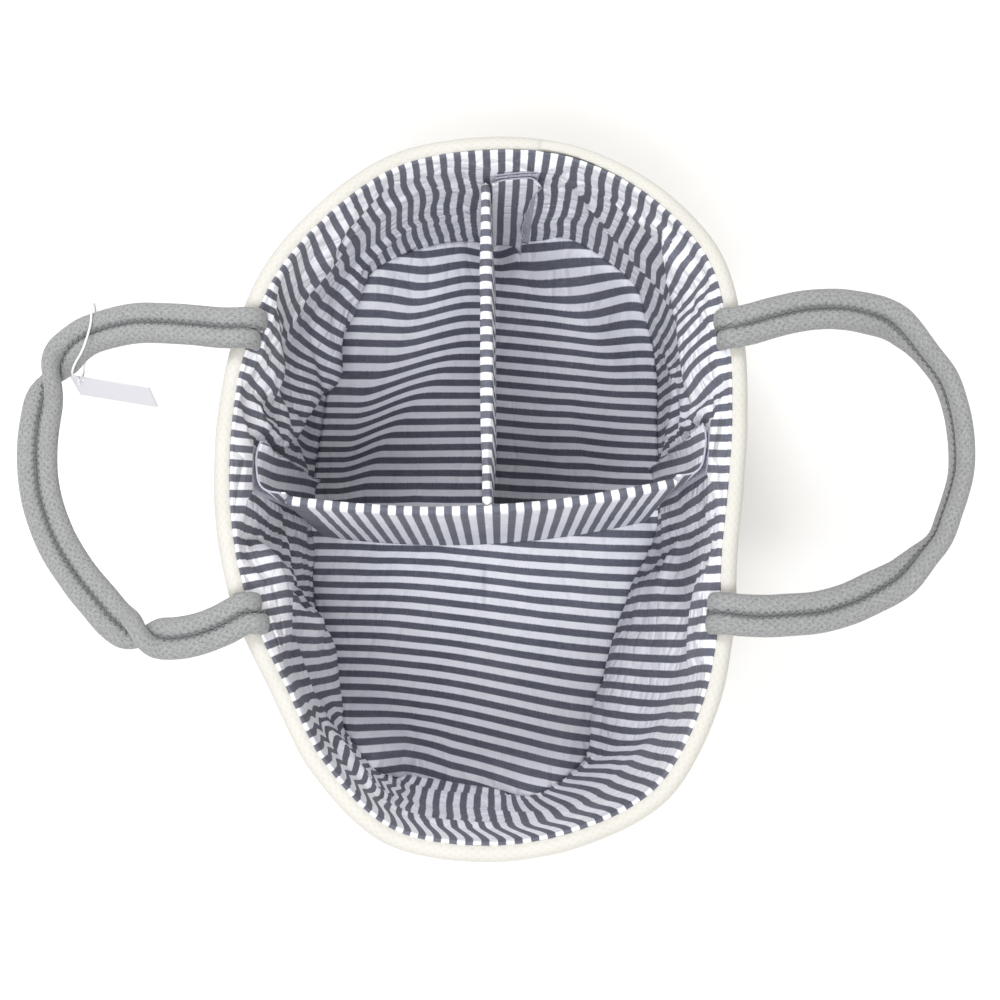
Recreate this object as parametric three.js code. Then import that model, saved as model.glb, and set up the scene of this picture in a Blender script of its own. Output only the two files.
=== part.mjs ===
// Woven baby organizer: an oval caddy coiled from cotton rope, with a striped cotton lining, a sewn
// T divider that lifts out, and two grey rope handles that swing on the rim.
// Millimetres, +Z up. The origin is under the middle of the straight core of the rope floor, on the
// surface that the caddy stands on. +Y is the back, where two small compartments are.
import * as THREE from "three";

// Body rope
const ROPE_D = 9.4; // thickness of the body rope
const COIL_GAP = 0.6; // thread and air between neighbouring coils
const BODY_HEIGHT = 180; // from the table to the top of the rim, at most
const FLOOR_HALF_WIDTH = 110; // to the middle of the outermost floor coil
const CORE_LENGTH = 122; // straight rope that the oval floor is coiled round
const FLOOR_BACK = 8; // how far behind the rim's middle the floor's middle lies
const RIM_HALF_LENGTH = 176; // to the middle of the rim coil

// Handles
const STRAND_D = 10; // each handle is two of these ropes side by side
const STRAND_GAP = 0.3;
const HANDLE_CENTRE_Y = 8; // middle of a handle, measured along the basket
const HANDLE_HALF_SPAN = 71; // from there to the middle of either leg
const LEFT_REACH = 119; // how far a handle lies out from its hinge line
const RIGHT_REACH = 125;
const LEFT_DROOP = 34; // how far its outer end hangs below the rim
const RIGHT_DROOP = 18;
const TAIL_THICKNESS = 5; // handle ends are pressed flat where they are sewn in
const TAIL_LENGTH = 42;

// Cloth
const CLOTH = 1; // lining cloth with its backing
const COVER_CLOTH = 0.8;
const TAPE = 1; // hook tape and loop tape
const TAPE_WIDTH = 22;
const TAPE_LENGTH = 128;
const FLAP_WIDTH = 27; // flap at each end of the divider, which folds back and carries the hook tape
const FLAP_CLOTH = 1.2;
const FLAP_MARGIN = 6; // of a flap, below its tape
const PULL_IN = 5; // how far the tapes draw the loose lining in from the rope

// Divider
const DIVIDER_THICKNESS = 5;
const DIVIDER_HEIGHT = 163;
const CROSS_Y = -11; // middle of the cross panel
const CROSS_BOW = 9.5; // how far back its ends lie
const CROSS_SKEW = 4.5; // how much further back the right end lies than the left, halved
const LONG_X = 3; // front end of the long panel
const LONG_SKEW = -1; // how far right of that its back end lies
const LONG_DROP = 10; // how much lower its back end is

// Fits
const SEAT = 0.3; // between two pieces that lie on each other
const LINING_SEAT = 0.5; // between the coils and the lining

const FULL_TURN = 2 * Math.PI;
const FACET = Math.cos(Math.PI / 6); // flat side of a six-sided rope, as a share of its radius
const ROPE_R = ROPE_D / 2;
const COIL_PITCH = ROPE_D + COIL_GAP;

// The floor coils lie on their flat sides, and the wall starts on a corner beside them.
const FLOOR_COIL_Z = ROPE_R * FACET;
const FLOOR_COIL_TOP = 2 * FLOOR_COIL_Z;
const WALL_START_Z = ROPE_R;
const WALL_LOOPS = Math.floor((BODY_HEIGHT - WALL_START_Z - ROPE_R) / COIL_PITCH);
const RIM_COIL_Z = WALL_START_Z + COIL_PITCH * WALL_LOOPS;
const RIM_TOP = RIM_COIL_Z + ROPE_R;

const FLOOR_LOOPS = Math.floor(FLOOR_HALF_WIDTH / COIL_PITCH);
const FLOOR_PITCH = FLOOR_HALF_WIDTH / FLOOR_LOOPS;

const material = (hex, roughness) =>
  new THREE.MeshStandardMaterial({ color: hex, roughness, metalness: 0 });
const creamRope = material(0xf1ece0, 0.9);
const greyRope = material(0x8b8c8e, 0.95);
const stripedCotton = material(0xa9a9b4, 0.85);
const board = material(0xc9b48c, 0.8);
const loopTape = material(0xd9d9de, 0.95);
const hookTape = material(0xe6e6ea, 0.6);

// Skins a row of rings, all with the same number of points in the same order, into one closed body.
// A row that comes back to its start needs no ends.
function skin(rings, comesBack = false) {
  const count = rings[0].length;
  const positions = rings.flat(2);
  const faces = [];
  const rows = comesBack ? rings.length : rings.length - 1;
  for (let row = 0; row < rows; row += 1) {
    const here = row * count;
    const next = ((row + 1) % rings.length) * count;
    for (let k = 0; k < count; k += 1) {
      const after = (k + 1) % count;
      faces.push(here + k, here + after, next + after);
      faces.push(here + k, next + after, next + k);
    }
  }
  if (!comesBack) {
    for (const [row, facing] of [[0, -1], [rings.length - 1, 1]]) {
      for (const [a, b, c] of endFaces(rings[row])) {
        const start = row * count;
        if (facing > 0) faces.push(start + a, start + b, start + c);
        else faces.push(start + a, start + c, start + b);
      }
    }
  }
  return outwards(positions, faces);
}

// Triangles across a flat ring of any outline.
function endFaces(ring) {
  const points = ring.map((p) => new THREE.Vector3(...p));
  const normal = new THREE.Vector3();
  points.forEach((p, k) => normal.add(p.clone().cross(points[(k + 1) % points.length])));
  const turn = new THREE.Quaternion().setFromUnitVectors(normal.normalize(), new THREE.Vector3(0, 0, 1));
  const flat = points.map((p) => p.applyQuaternion(turn)).map((p) => new THREE.Vector2(p.x, p.y));
  return THREE.ShapeUtils.triangulateShape(flat, []);
}

// A geometry whose faces look outwards, whichever way round its rings were given.
function outwards(positions, faces) {
  let volume = 0;
  const at = (i) => new THREE.Vector3(...positions.slice(3 * i, 3 * i + 3));
  for (let i = 0; i < faces.length; i += 3) {
    volume += at(faces[i]).dot(at(faces[i + 1]).cross(at(faces[i + 2])));
  }
  const turned = volume < 0 ? faces.toReversed() : faces;
  const geometry = new THREE.BufferGeometry();
  geometry.setAttribute("position", new THREE.Float32BufferAttribute(positions, 3));
  geometry.setIndex(turned);
  geometry.computeVertexNormals();
  return geometry;
}

// Rings of a rope along a path. A first corner at 0 puts a corner beside the path, and one at half a
// side puts a flat there. Each ring lies in the plane halfway between its two stretches.
function ropeRings(path, radiusAt, sides, firstCorner, up = new THREE.Vector3(0, 0, 1), comesBack = false) {
  const count = path.length;
  return path.map((p, i) => {
    const before = comesBack ? path[(i + count - 1) % count] : path[Math.max(i - 1, 0)];
    const after = comesBack ? path[(i + 1) % count] : path[Math.min(i + 1, count - 1)];
    const arriving = p.clone().sub(before).normalize();
    const leaving = after.clone().sub(p).normalize();
    const along = arriving.clone().add(leaving).normalize();
    const mitre = comesBack || (i > 0 && i < count - 1) ? along.dot(leaving) : 1;
    const beside = along.clone().cross(up).normalize();
    const above = beside.clone().cross(along);
    const ring = [];
    for (let k = 0; k < sides; k += 1) {
      const angle = ((k + firstCorner) / sides) * FULL_TURN;
      const out = (radiusAt(i) * Math.cos(angle)) / mitre;
      const lift = radiusAt(i) * Math.sin(angle);
      ring.push(p.clone().addScaledVector(beside, out).addScaledVector(above, lift).toArray());
    }
    return ring;
  });
}

// The least distance between two stretches of a rope that aren't next to each other, less its
// thickness, measured on its points and halfway between them.
function leastGap(path, thickness) {
  const points = [];
  const travelled = [];
  path.forEach((p, i) => {
    const last = points.at(-1);
    if (last) {
      points.push(last.clone().lerp(p, 1 / 2));
      travelled.push(travelled.at(-1) + last.distanceTo(p) / 2);
    }
    points.push(p.clone());
    travelled.push(i ? travelled.at(-1) + points.at(-2).distanceTo(p) : 0);
  });
  let least = Infinity;
  points.forEach((p, i) => {
    for (let j = i + 1; j < points.length; j += 1) {
      if (travelled[j] - travelled[i] < 2 * thickness) continue;
      least = Math.min(least, p.distanceTo(points[j]) - thickness);
    }
  });
  return least;
}

// The rope floor: a straight core, then turns round it at an even pitch. The front turns are centred
// on the core's front end, and the back turns half a pitch to its left.
const TURN_STEPS = 10; // steps in each half turn
const STRAIGHT_STEPS = 2; // steps along each straight side of the wall's loops
const LOOP_STEPS = 2 * (TURN_STEPS + STRAIGHT_STEPS);
const CORE_END = CORE_LENGTH / 2;

function floorPath() {
  const path = [[0, -CORE_END]];
  for (let loop = 1; loop <= FLOOR_LOOPS; loop += 1) {
    const backRadius = FLOOR_PITCH * (loop - 1 / 2);
    const frontRadius = FLOOR_PITCH * loop;
    for (let step = 0; step <= TURN_STEPS; step += 1) {
      const angle = (Math.PI * step) / TURN_STEPS;
      path.push([backRadius * Math.cos(angle) - FLOOR_PITCH / 2, CORE_END + backRadius * Math.sin(angle)]);
    }
    for (let step = 0; step <= TURN_STEPS; step += 1) {
      const angle = Math.PI + (Math.PI * step) / TURN_STEPS;
      path.push([frontRadius * Math.cos(angle), frontRadius * Math.sin(angle) - CORE_END]);
    }
  }
  path.push([FLOOR_HALF_WIDTH, CORE_END - 2 * COIL_GAP]);
  return path.map(([x, y]) => new THREE.Vector3(x, y + FLOOR_BACK, FLOOR_COIL_Z));
}

// The wall's loops. Every loop has the same stations: station 0 is where the back turn starts, on the
// right, and they run over the back, down the left side, round the front and up the right side.
function floorStations() {
  const stations = [];
  for (let step = 0; step < TURN_STEPS; step += 1) {
    const angle = (Math.PI * step) / TURN_STEPS;
    stations.push([FLOOR_HALF_WIDTH * Math.cos(angle), CORE_END + FLOOR_HALF_WIDTH * Math.sin(angle)]);
  }
  for (let step = 0; step < STRAIGHT_STEPS; step += 1) {
    stations.push([-FLOOR_HALF_WIDTH, CORE_END - (CORE_LENGTH * step) / STRAIGHT_STEPS]);
  }
  return stations.concat(stations.map(([x, y]) => [-x, -y])).map(([x, y]) => [x, y + FLOOR_BACK]);
}

// The rim's outline, as shares of its half length at even angles from the right side round to the
// back. It is fuller at the back and on the right, as a soft basket stands.
const RIM_SHARES = [
  0.716, 0.757, 0.839, 0.943, 0.991, 1.012, 0.998, 0.979, 0.92, 0.863, 0.797, 0.748,
  0.727, 0.731, 0.753, 0.794, 0.898, 0.996, 1.012, 1.009, 0.987, 0.888, 0.787, 0.719,
];
const RIM_SAMPLES = 1440;

function rimOutline() {
  const corners = RIM_SHARES.map((share, i) => {
    const angle = (i / RIM_SHARES.length) * FULL_TURN;
    return new THREE.Vector3(Math.cos(angle), Math.sin(angle), 0).multiplyScalar(share * RIM_HALF_LENGTH);
  });
  const start = RIM_SHARES.length / 4;
  const fromBack = [...corners.slice(start), ...corners.slice(0, start)];
  return new THREE.CatmullRomCurve3(fromBack, true, "centripetal").getSpacedPoints(RIM_SAMPLES);
}

// Stations on the rim. The two sides, the back and the front of the rim lie straight out from the
// floor's, and in each quarter between them the stations keep the floor's shares of the way round.
function rimStations(stations) {
  const lengthTo = [0];
  stations.forEach((p, i) => {
    const q = stations[(i + 1) % stations.length];
    lengthTo.push(lengthTo[i] + Math.hypot(q[0] - p[0], q[1] - p[1]));
  });
  const rim = rimOutline();
  const front = rim.findIndex(({ x, y }) => y < 0 && x >= 0);
  const left = rim.findIndex(({ y }) => y <= FLOOR_BACK);
  const right = rim.findIndex(({ y }, i) => i > front && y >= FLOOR_BACK);
  const quarterStarts = [0, left, front, right, RIM_SAMPLES];
  return stations.map((_, i) => {
    const share = (lengthTo[i] - lengthTo[TURN_STEPS / 2]) / lengthTo.at(-1);
    const quarters = 4 * (share - Math.floor(share));
    const quarter = Math.floor(quarters);
    const [from, to] = quarterStarts.slice(quarter, quarter + 2);
    const { x, y } = rim[Math.round(from + (quarters - quarter) * (to - from))];
    return [x, y];
  });
}

const FLOOR_STATIONS = floorStations();
const RIM_STATIONS = rimStations(FLOOR_STATIONS);
// The middle of the wall at a station and a height.
function wallMiddle(station, z) {
  const i = ((station % LOOP_STEPS) + LOOP_STEPS) % LOOP_STEPS;
  const share = Math.min(Math.max((z - WALL_START_Z) / (RIM_COIL_Z - WALL_START_Z), 0), 1);
  return [0, 1].map((k) => FLOOR_STATIONS[i][k] + share * (RIM_STATIONS[i][k] - FLOOR_STATIONS[i][k]));
}

// A point at any place round the wall and a distance in from its middle. Between stations it follows
// the straight stretch of rope there.
function wallPoint(place, z, inset) {
  const corner = (station) => {
    const [before, here, after] = [-1, 0, 1].map((step) => new THREE.Vector2(...wallMiddle(station + step, z)));
    const arriving = here.clone().sub(before).normalize();
    const leaving = after.clone().sub(here).normalize();
    const along = arriving.clone().add(leaving).normalize();
    const inwards = new THREE.Vector2(-along.y, along.x);
    return here.addScaledVector(inwards, inset / along.dot(leaving));
  };
  const station = Math.floor(place);
  return corner(station).lerp(corner(station + 1), place - station);
}

// The place round the wall, near a given station, where it crosses a line across or along the basket.
function placeWhere(axis, value, nearStation, z, inset) {
  const reachStations = LOOP_STEPS / 4;
  const offAt = (place) => wallPoint(place, z, inset).getComponent(axis) - value;
  let low = nearStation - reachStations;
  let high = nearStation + reachStations;
  const lowSide = Math.sign(offAt(low));
  for (let halving = 0; halving < 40; halving += 1) {
    const middle = (low + high) / 2;
    if (Math.sign(offAt(middle)) === lowSide) low = middle;
    else high = middle;
  }
  return low;
}

const LEFT_STATION = TURN_STEPS + STRAIGHT_STEPS / 2;
const RIGHT_STATION = LEFT_STATION + LOOP_STEPS / 2;
const BACK_STATION = TURN_STEPS / 2;
const X_AXIS = 0;
const Y_AXIS = 1;

// Each loop lies level but for the back turn, where it climbs onto the one below it. The climb keeps
// it a pitch away from the outermost floor coil, which curls in half a pitch there.
function climbShare(step) {
  if (step >= TURN_STEPS) return 1;
  const halfAngle = (Math.PI * step) / TURN_STEPS / 2;
  return Math.sqrt(1 - Math.cos(halfAngle) ** 4);
}

const TAPER_STEPS = 4; // the rope's end thins out over these, to leave the rim level

function wallRope() {
  const path = [];
  const radii = [];
  const add = (step, level, radius, z) => {
    path.push(new THREE.Vector3(...wallMiddle(step, z), z));
    radii.push(radius);
  };
  for (let loop = 0; loop < WALL_LOOPS; loop += 1) {
    for (let step = 0; step < LOOP_STEPS; step += 1) {
      const level = loop + climbShare(step);
      add(step, level, ROPE_R, WALL_START_Z + COIL_PITCH * level);
    }
  }
  for (let step = 0; step <= TAPER_STEPS; step += 1) {
    const room = COIL_PITCH * (1 - climbShare(step)) - COIL_GAP;
    add(step, WALL_LOOPS, room / 2, RIM_TOP - room / 2);
  }
  return { path, radii };
}

// Insets from the middle of the wall to each layer that lies inside it.
const LINING_OUT = ROPE_R * FACET + LINING_SEAT;

// Where the lining stands off the rope: over the handles' pressed ends, and where the divider's tapes
// pull it in. Each is a bulge with a level top and sloping sides.
const LINING_TOP = RIM_TOP - ROPE_R / 3;
const LINING_FOOT = FLOOR_COIL_TOP + SEAT;
const FLOOR_CLOTH_TOP = LINING_FOOT + CLOTH;
const DIVIDER_FOOT = FLOOR_CLOTH_TOP + SEAT;
const DIVIDER_TOP = DIVIDER_FOOT + DIVIDER_HEIGHT;
const TAPE_TOP = DIVIDER_TOP - 2 * TAPE;
const TAPE_FOOT = TAPE_TOP - TAPE_LENGTH;
const TAIL_TOP = RIM_TOP - SEAT;
const TAIL_FOOT = TAIL_TOP - TAIL_LENGTH;
const TAIL_HALF_WIDTH = STRAND_D + STRAND_GAP / 2;
const LEG_CENTRES = [HANDLE_CENTRE_Y + HANDLE_HALF_SPAN, HANDLE_CENTRE_Y - HANDLE_HALF_SPAN];

// The three ends of the divider. Each has loop tape on the lining, and a flap with hook tape that is
// folded back beside the panel's end.
const PANEL_TO_FLAP = DIVIDER_THICKNESS / 2 + SEAT;
const DIVIDER_ENDS = {
  left: { axis: Y_AXIS, panelMiddle: crossPathY(-1), station: LEFT_STATION },
  right: { axis: Y_AXIS, panelMiddle: crossPathY(1), station: RIGHT_STATION },
  back: { axis: X_AXIS, panelMiddle: LONG_X + LONG_SKEW, station: BACK_STATION },
};

const SLOPE_WIDTH = 24; // cloth beside a bulge
const STEP_HEIGHT = 14; // cloth below a bulge
const SIDE_STATIONS = { left: LEFT_STATION, right: RIGHT_STATION };

function bulges() {
  const found = [];
  for (const station of Object.values(SIDE_STATIONS)) {
    for (const y of LEG_CENTRES) {
      found.push({
        axis: Y_AXIS,
        centre: y,
        station,
        halfWidth: TAIL_HALF_WIDTH + SEAT,
        foot: TAIL_FOOT - SEAT,
        depth: TAIL_THICKNESS + SEAT,
      });
    }
  }
  for (const { axis, panelMiddle, station } of Object.values(DIVIDER_ENDS)) {
    found.push({
      axis,
      centre: panelMiddle + PANEL_TO_FLAP + FLAP_WIDTH / 2,
      station,
      halfWidth: FLAP_WIDTH / 2,
      foot: TAPE_FOOT,
      depth: PULL_IN,
    });
  }
  for (const bulge of found) {
    const placeAt = (value) => placeWhere(bulge.axis, value, bulge.station, RIM_COIL_Z, LINING_OUT);
    const ends = [-1, 1].map((side) => placeAt(bulge.centre + side * (bulge.halfWidth + SEAT)));
    const slopes = [-1, 1].map((side) => placeAt(bulge.centre + side * (bulge.halfWidth + SLOPE_WIDTH)));
    Object.assign(bulge, {
      low: Math.min(...ends),
      high: Math.max(...ends),
      slopeLow: Math.min(...slopes),
      slopeHigh: Math.max(...slopes),
    });
  }
  return found;
}

// How far back the cross panel lies, at a share of its half width from the middle.
function crossPathY(share) {
  return CROSS_Y + CROSS_BOW * share ** 2 + CROSS_SKEW * share;
}

const BULGES = bulges();

function bulgeAt(place, z) {
  let deepest = 0;
  for (const bulge of BULGES) {
    let away = place;
    while (away < bulge.slopeLow - LOOP_STEPS / 2) away += LOOP_STEPS;
    while (away > bulge.slopeHigh + LOOP_STEPS / 2) away -= LOOP_STEPS;
    const before = (away - bulge.slopeLow) / (bulge.low - bulge.slopeLow);
    const after = (bulge.slopeHigh - away) / (bulge.slopeHigh - bulge.high);
    const across = Math.min(1, before, after);
    const upwards = Math.min(1, (z - bulge.foot + STEP_HEIGHT) / STEP_HEIGHT);
    if (across > 0 && upwards > 0) deepest = Math.max(deepest, bulge.depth * across * upwards);
  }
  return deepest;
}

const liningOuter = (place, z) => LINING_OUT + bulgeAt(place, z);
const LOOP_TAPE_IN = LINING_OUT + PULL_IN + CLOTH + SEAT;
const HOOK_TAPE_IN = LOOP_TAPE_IN + TAPE + SEAT;
const FLAP_IN = HOOK_TAPE_IN + TAPE + SEAT;
const FLAP_FOOT = TAPE_FOOT - FLAP_MARGIN;
const PANEL_END_IN = FLAP_IN + FLAP_CLOTH + SEAT; // beside the flaps
const PANEL_FOOT_IN = LINING_OUT + CLOTH + SEAT; // on the floor

// Heights at which all that lies along the wall has points, so that its layers bend alike.
const LEVEL_COUNT = 6;

function wallLevels(foot, top) {
  const levels = [TAPE_FOOT - STEP_HEIGHT, TAPE_FOOT, TAIL_FOOT - SEAT - STEP_HEIGHT, TAIL_FOOT - SEAT];
  for (let i = 1; i < LEVEL_COUNT; i += 1) {
    levels.push(LINING_FOOT + ((LINING_TOP - LINING_FOOT) * i) / LEVEL_COUNT);
  }
  const between = levels.filter((z) => z > foot + CLOTH && z < top - CLOTH);
  return [foot, ...between.sort((a, b) => a - b), top];
}

const LEAST_STEP_SHARE = 0.01; // of a station, between two rows of the lining's points

function liningPlaces() {
  const places = Array.from({ length: 2 * LOOP_STEPS }, (_, i) => i / 2);
  for (const bulge of BULGES) {
    for (const place of [bulge.slopeLow, bulge.low, bulge.high, bulge.slopeHigh]) {
      places.push(((place % LOOP_STEPS) + LOOP_STEPS) % LOOP_STEPS);
    }
  }
  places.sort((a, b) => a - b);
  return places.filter((place, i) => i === 0 || place - places[i - 1] > LEAST_STEP_SHARE);
}

function liningWall() {
  const heights = wallLevels(LINING_FOOT, LINING_TOP);
  const rings = liningPlaces().map((place) => {
    const outer = heights.map((z) => [...wallPoint(place, z, liningOuter(place, z)), z]);
    const inner = heights.map((z) => [...wallPoint(place, z, liningOuter(place, z) + CLOTH), z]);
    return [...outer, ...inner.toReversed()];
  });
  return skin(rings, true);
}

// The floor cloth lies on the coils, inside the foot of the lining's wall.
function liningFloor() {
  const inset = LINING_OUT + CLOTH + SEAT;
  const ringAt = (z) => FLOOR_STATIONS.map((_, i) => [...wallPoint(i, LINING_FOOT, inset), z]);
  return skin([ringAt(LINING_FOOT), ringAt(FLOOR_CLOTH_TOP)]);
}

// A strip of tape or cloth that lies along the wall between two lines and two heights.
function wallStrip({ axis, from, to, station, foot, top, inset, thickness }) {
  const ends = [from, to].map((value) => placeWhere(axis, value, station, RIM_COIL_Z, inset));
  const [low, high] = [Math.min(...ends), Math.max(...ends)];
  const places = [low];
  for (let corner = Math.ceil(low); corner < high; corner += 1) places.push(corner);
  places.push(high);
  const heights = wallLevels(foot, top);
  const rings = places.map((place) => {
    const outer = heights.map((z) => [...wallPoint(place, z, inset), z]);
    const inner = heights.map((z) => [...wallPoint(place, z, inset + thickness), z]);
    return [...outer, ...inner.toReversed()];
  });
  return skin(rings);
}

// A piece of tape beside the end of a panel, on the lining or on a flap.
function tape(end, inset) {
  const { axis, panelMiddle, station } = DIVIDER_ENDS[end];
  const middle = panelMiddle + PANEL_TO_FLAP + FLAP_WIDTH / 2;
  const [from, to] = [middle - TAPE_WIDTH / 2, middle + TAPE_WIDTH / 2];
  return wallStrip({ axis, from, to, station, foot: TAPE_FOOT, top: TAPE_TOP, inset, thickness: TAPE });
}

// How far out a panel ends. Its end is upright and the wall leans out, so it is nearest to the wall at
// its foot or at the foot of its flap.
function panelEnd(end) {
  const { axis, panelMiddle, station } = DIVIDER_ENDS[end];
  const limits = [
    [DIVIDER_FOOT, PANEL_FOOT_IN],
    [FLAP_FOOT, PANEL_END_IN],
    [DIVIDER_TOP, PANEL_END_IN],
  ];
  const ends = limits.flatMap(([z, inset]) =>
    [-1, 1].map((side) => {
      const across = panelMiddle + (side * DIVIDER_THICKNESS) / 2;
      return wallPoint(placeWhere(axis, across, station, z, inset), z, inset).getComponent(1 - axis);
    }),
  );
  return end === "left" ? Math.max(...ends) : Math.min(...ends);
}

// A flap is sewn to the back of its panel's end. Its leaf bridges the gap to the wall, and the rest is
// folded back along the wall, over the hook tape.
function flap(end, top) {
  const { axis, panelMiddle, station } = DIVIDER_ENDS[end];
  const out = panelEnd(end);
  const sewn = panelMiddle + PANEL_TO_FLAP;
  const far = placeWhere(axis, sewn + FLAP_WIDTH, station, RIM_COIL_Z, FLAP_IN);
  const rings = wallLevels(FLAP_FOOT, top).map((z) => {
    const pointAt = (along, across) => (axis === Y_AXIS ? [across, along, z] : [along, across, z]);
    const side = (start, inset) => {
      const fold = placeWhere(axis, start, station, z, inset);
      const [low, high] = [Math.min(fold, far), Math.max(fold, far)];
      const corner = Math.round(fold);
      const bend = corner > low && corner < high ? corner : (low + high) / 2;
      const places = [fold, bend, far].map((place) => [...wallPoint(place, z, inset), z]);
      return [pointAt(start, out), ...places];
    };
    return [...side(sewn, FLAP_IN), ...side(sewn + FLAP_CLOTH, FLAP_IN + FLAP_CLOTH).toReversed()];
  });
  return skin(rings);
}

// A panel's section, as pairs of distance across it and height: a sleeve with a round top, open below.
const ROUND_STEPS = 6;
const CORE_THICKNESS = DIVIDER_THICKNESS - 2 * COVER_CLOTH - 2 * SEAT;

function sleeveSection() {
  const arch = (radius) => {
    const points = [[-radius, DIVIDER_FOOT]];
    for (let step = 0; step <= ROUND_STEPS; step += 1) {
      const angle = Math.PI * (1 - step / ROUND_STEPS);
      points.push([radius * Math.cos(angle), DIVIDER_TOP - DIVIDER_THICKNESS / 2 + radius * Math.sin(angle)]);
    }
    return [...points, [radius, DIVIDER_FOOT]];
  };
  return [...arch(DIVIDER_THICKNESS / 2), ...arch(DIVIDER_THICKNESS / 2 - COVER_CLOTH).toReversed()];
}

function coreSection() {
  const half = CORE_THICKNESS / 2;
  const top = DIVIDER_TOP - DIVIDER_THICKNESS / 2;
  return [[-half, DIVIDER_FOOT], [-half, top], [half, top], [half, DIVIDER_FOOT]];
}

const CROSS_STEPS = 10;
const LONG_STEPS = 4;

function crossPanel(section) {
  const rings = [];
  for (let step = 0; step <= CROSS_STEPS; step += 1) {
    const share = (2 * step) / CROSS_STEPS - 1;
    const out = Math.abs(share) * panelEnd(share < 0 ? "left" : "right");
    rings.push(section.map(([across, z]) => [out, crossPathY(share) + across, z]));
  }
  return skin(rings);
}

// The cross panel's back face, at a distance to the right of the middle.
function crossBackAt(x) {
  const side = x < 0 ? -1 : 1;
  const steps = ((x / panelEnd(x < 0 ? "left" : "right")) * CROSS_STEPS) / 2;
  const [here, next] = [0, 1].map((step) => crossPathY((2 * side * (Math.floor(steps) + step)) / CROSS_STEPS));
  return here + (steps - Math.floor(steps)) * (next - here) + DIVIDER_THICKNESS / 2;
}

function longPanel(section) {
  const rings = [];
  for (let step = 0; step <= LONG_STEPS; step += 1) {
    const share = step / LONG_STEPS;
    const drop = (LONG_DROP * share) / DIVIDER_HEIGHT;
    rings.push(
      section.map(([across, level]) => {
        const z = DIVIDER_FOOT + (level - DIVIDER_FOOT) * (1 - drop);
        const front = crossBackAt(LONG_X + across) + SEAT;
        return [LONG_X + share * LONG_SKEW + across, front + share * (panelEnd("back") - front), z];
      }),
    );
  }
  return skin(rings);
}

// Handles. A handle's hinge line runs through its two legs, just inside the rim coil and a strand's
// half thickness above it, so the strands can lie out over the rim or stand up from it.
const STRAND_R = STRAND_D / 2;
const STRAND_SIDES = 8;
const STRAND_STEPS = 36;
const PIVOT_IN = LINING_OUT - LINING_SEAT + SEAT + TAIL_THICKNESS / 2;
const PIVOT_Z = RIM_TOP + SEAT + STRAND_R;

function hingeLine(side) {
  const station = SIDE_STATIONS[side];
  const [back, front] = LEG_CENTRES.map((y) => wallPoint(placeWhere(Y_AXIS, y, station, RIM_COIL_Z, PIVOT_IN), RIM_COIL_Z, PIVOT_IN));
  const middle = back.clone().add(front).divideScalar(2);
  const along = back.clone().sub(front).normalize();
  return { middle, halfSpan: back.distanceTo(front) / 2, turn: Math.atan2(-along.x, along.y) };
}

// How each handle lies: shares of its reach and of its half span, from the back leg to the front leg.
const LEFT_LIE_SHARES = [
  [0, 1], [0.14, 1], [0.27, 1.03], [0.4, 1.06], [0.53, 1.08], [0.67, 1.06], [0.77, 1.02], [0.85, 0.94],
  [0.91, 0.83], [0.96, 0.64], [0.99, 0.42], [1, 0.2], [0.98, -0.09], [0.9, -0.43], [0.78, -0.72], [0.7, -0.87],
  [0.61, -1.03], [0.53, -1.11], [0.39, -1.16], [0.26, -1.14], [0.14, -1.07], [0.07, -1.01], [0, -1],
];
const RIGHT_LIE_SHARES = [
  [0, 1], [0.09, 1.02], [0.21, 1.09], [0.33, 1.15], [0.46, 1.18], [0.58, 1.17], [0.69, 1.13], [0.77, 1.04],
  [0.86, 0.89], [0.93, 0.74], [0.98, 0.5], [1, 0.28], [1, 0.1], [0.98, -0.06], [0.95, -0.22], [0.91, -0.4],
  [0.83, -0.55], [0.74, -0.7], [0.63, -0.81], [0.54, -0.89], [0.42, -0.96], [0.3, -0.99], [0.18, -1.01], [0, -1],
];
const HANDLES = {
  left: { outward: -1, reach: LEFT_REACH, droop: LEFT_DROOP, shares: LEFT_LIE_SHARES },
  right: { outward: 1, reach: RIGHT_REACH, droop: RIGHT_DROOP, shares: RIGHT_LIE_SHARES },
};
const LEVEL_REACH = 2 * ROPE_D; // a handle lies level until it is clear of the rim

function handleMiddle(side) {
  const { outward, reach, droop, shares } = HANDLES[side];
  const { halfSpan } = hingeLine(side);
  const points = shares.map(([out, along]) => {
    const beyond = Math.max(0, (out * reach - LEVEL_REACH) / (reach - LEVEL_REACH));
    return new THREE.Vector3(outward * out * reach, along * halfSpan, -droop * beyond ** 1.5);
  });
  return new THREE.CatmullRomCurve3(points, false, "centripetal").getSpacedPoints(STRAND_STEPS);
}

// One strand lies on the inner side of the loop and the other on the outer side.
function strand(side, which) {
  const { outward } = HANDLES[side];
  const middle = handleMiddle(side);
  const offset = (which === "outer" ? 1 : -1) * (STRAND_R + STRAND_GAP / 2);
  const path = middle.map((p, i) => {
    const before = middle[Math.max(i - 1, 0)];
    const after = middle[Math.min(i + 1, STRAND_STEPS)];
    const along = i === 0 || i === STRAND_STEPS ? new THREE.Vector3(i ? -outward : outward, 0, 0) : after.clone().sub(before);
    const outside = new THREE.Vector3(along.y, -along.x, 0).normalize().multiplyScalar(-outward);
    return p.clone().addScaledVector(outside, offset);
  });
  const rings = ropeRings(path, () => STRAND_R, STRAND_SIDES, 1 / 2);
  return skin([...domeRings(rings[0], path[0], -1, outward), ...rings, ...domeRings(rings.at(-1), path.at(-1), 1, outward)]);
}

// A strand's end is rounded about its hinge line: one smaller ring beyond each end.
const DOME_STEP_SHARES = [0.6, 0.8]; // how far out the ring lies and how wide it is, in strand radii

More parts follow.
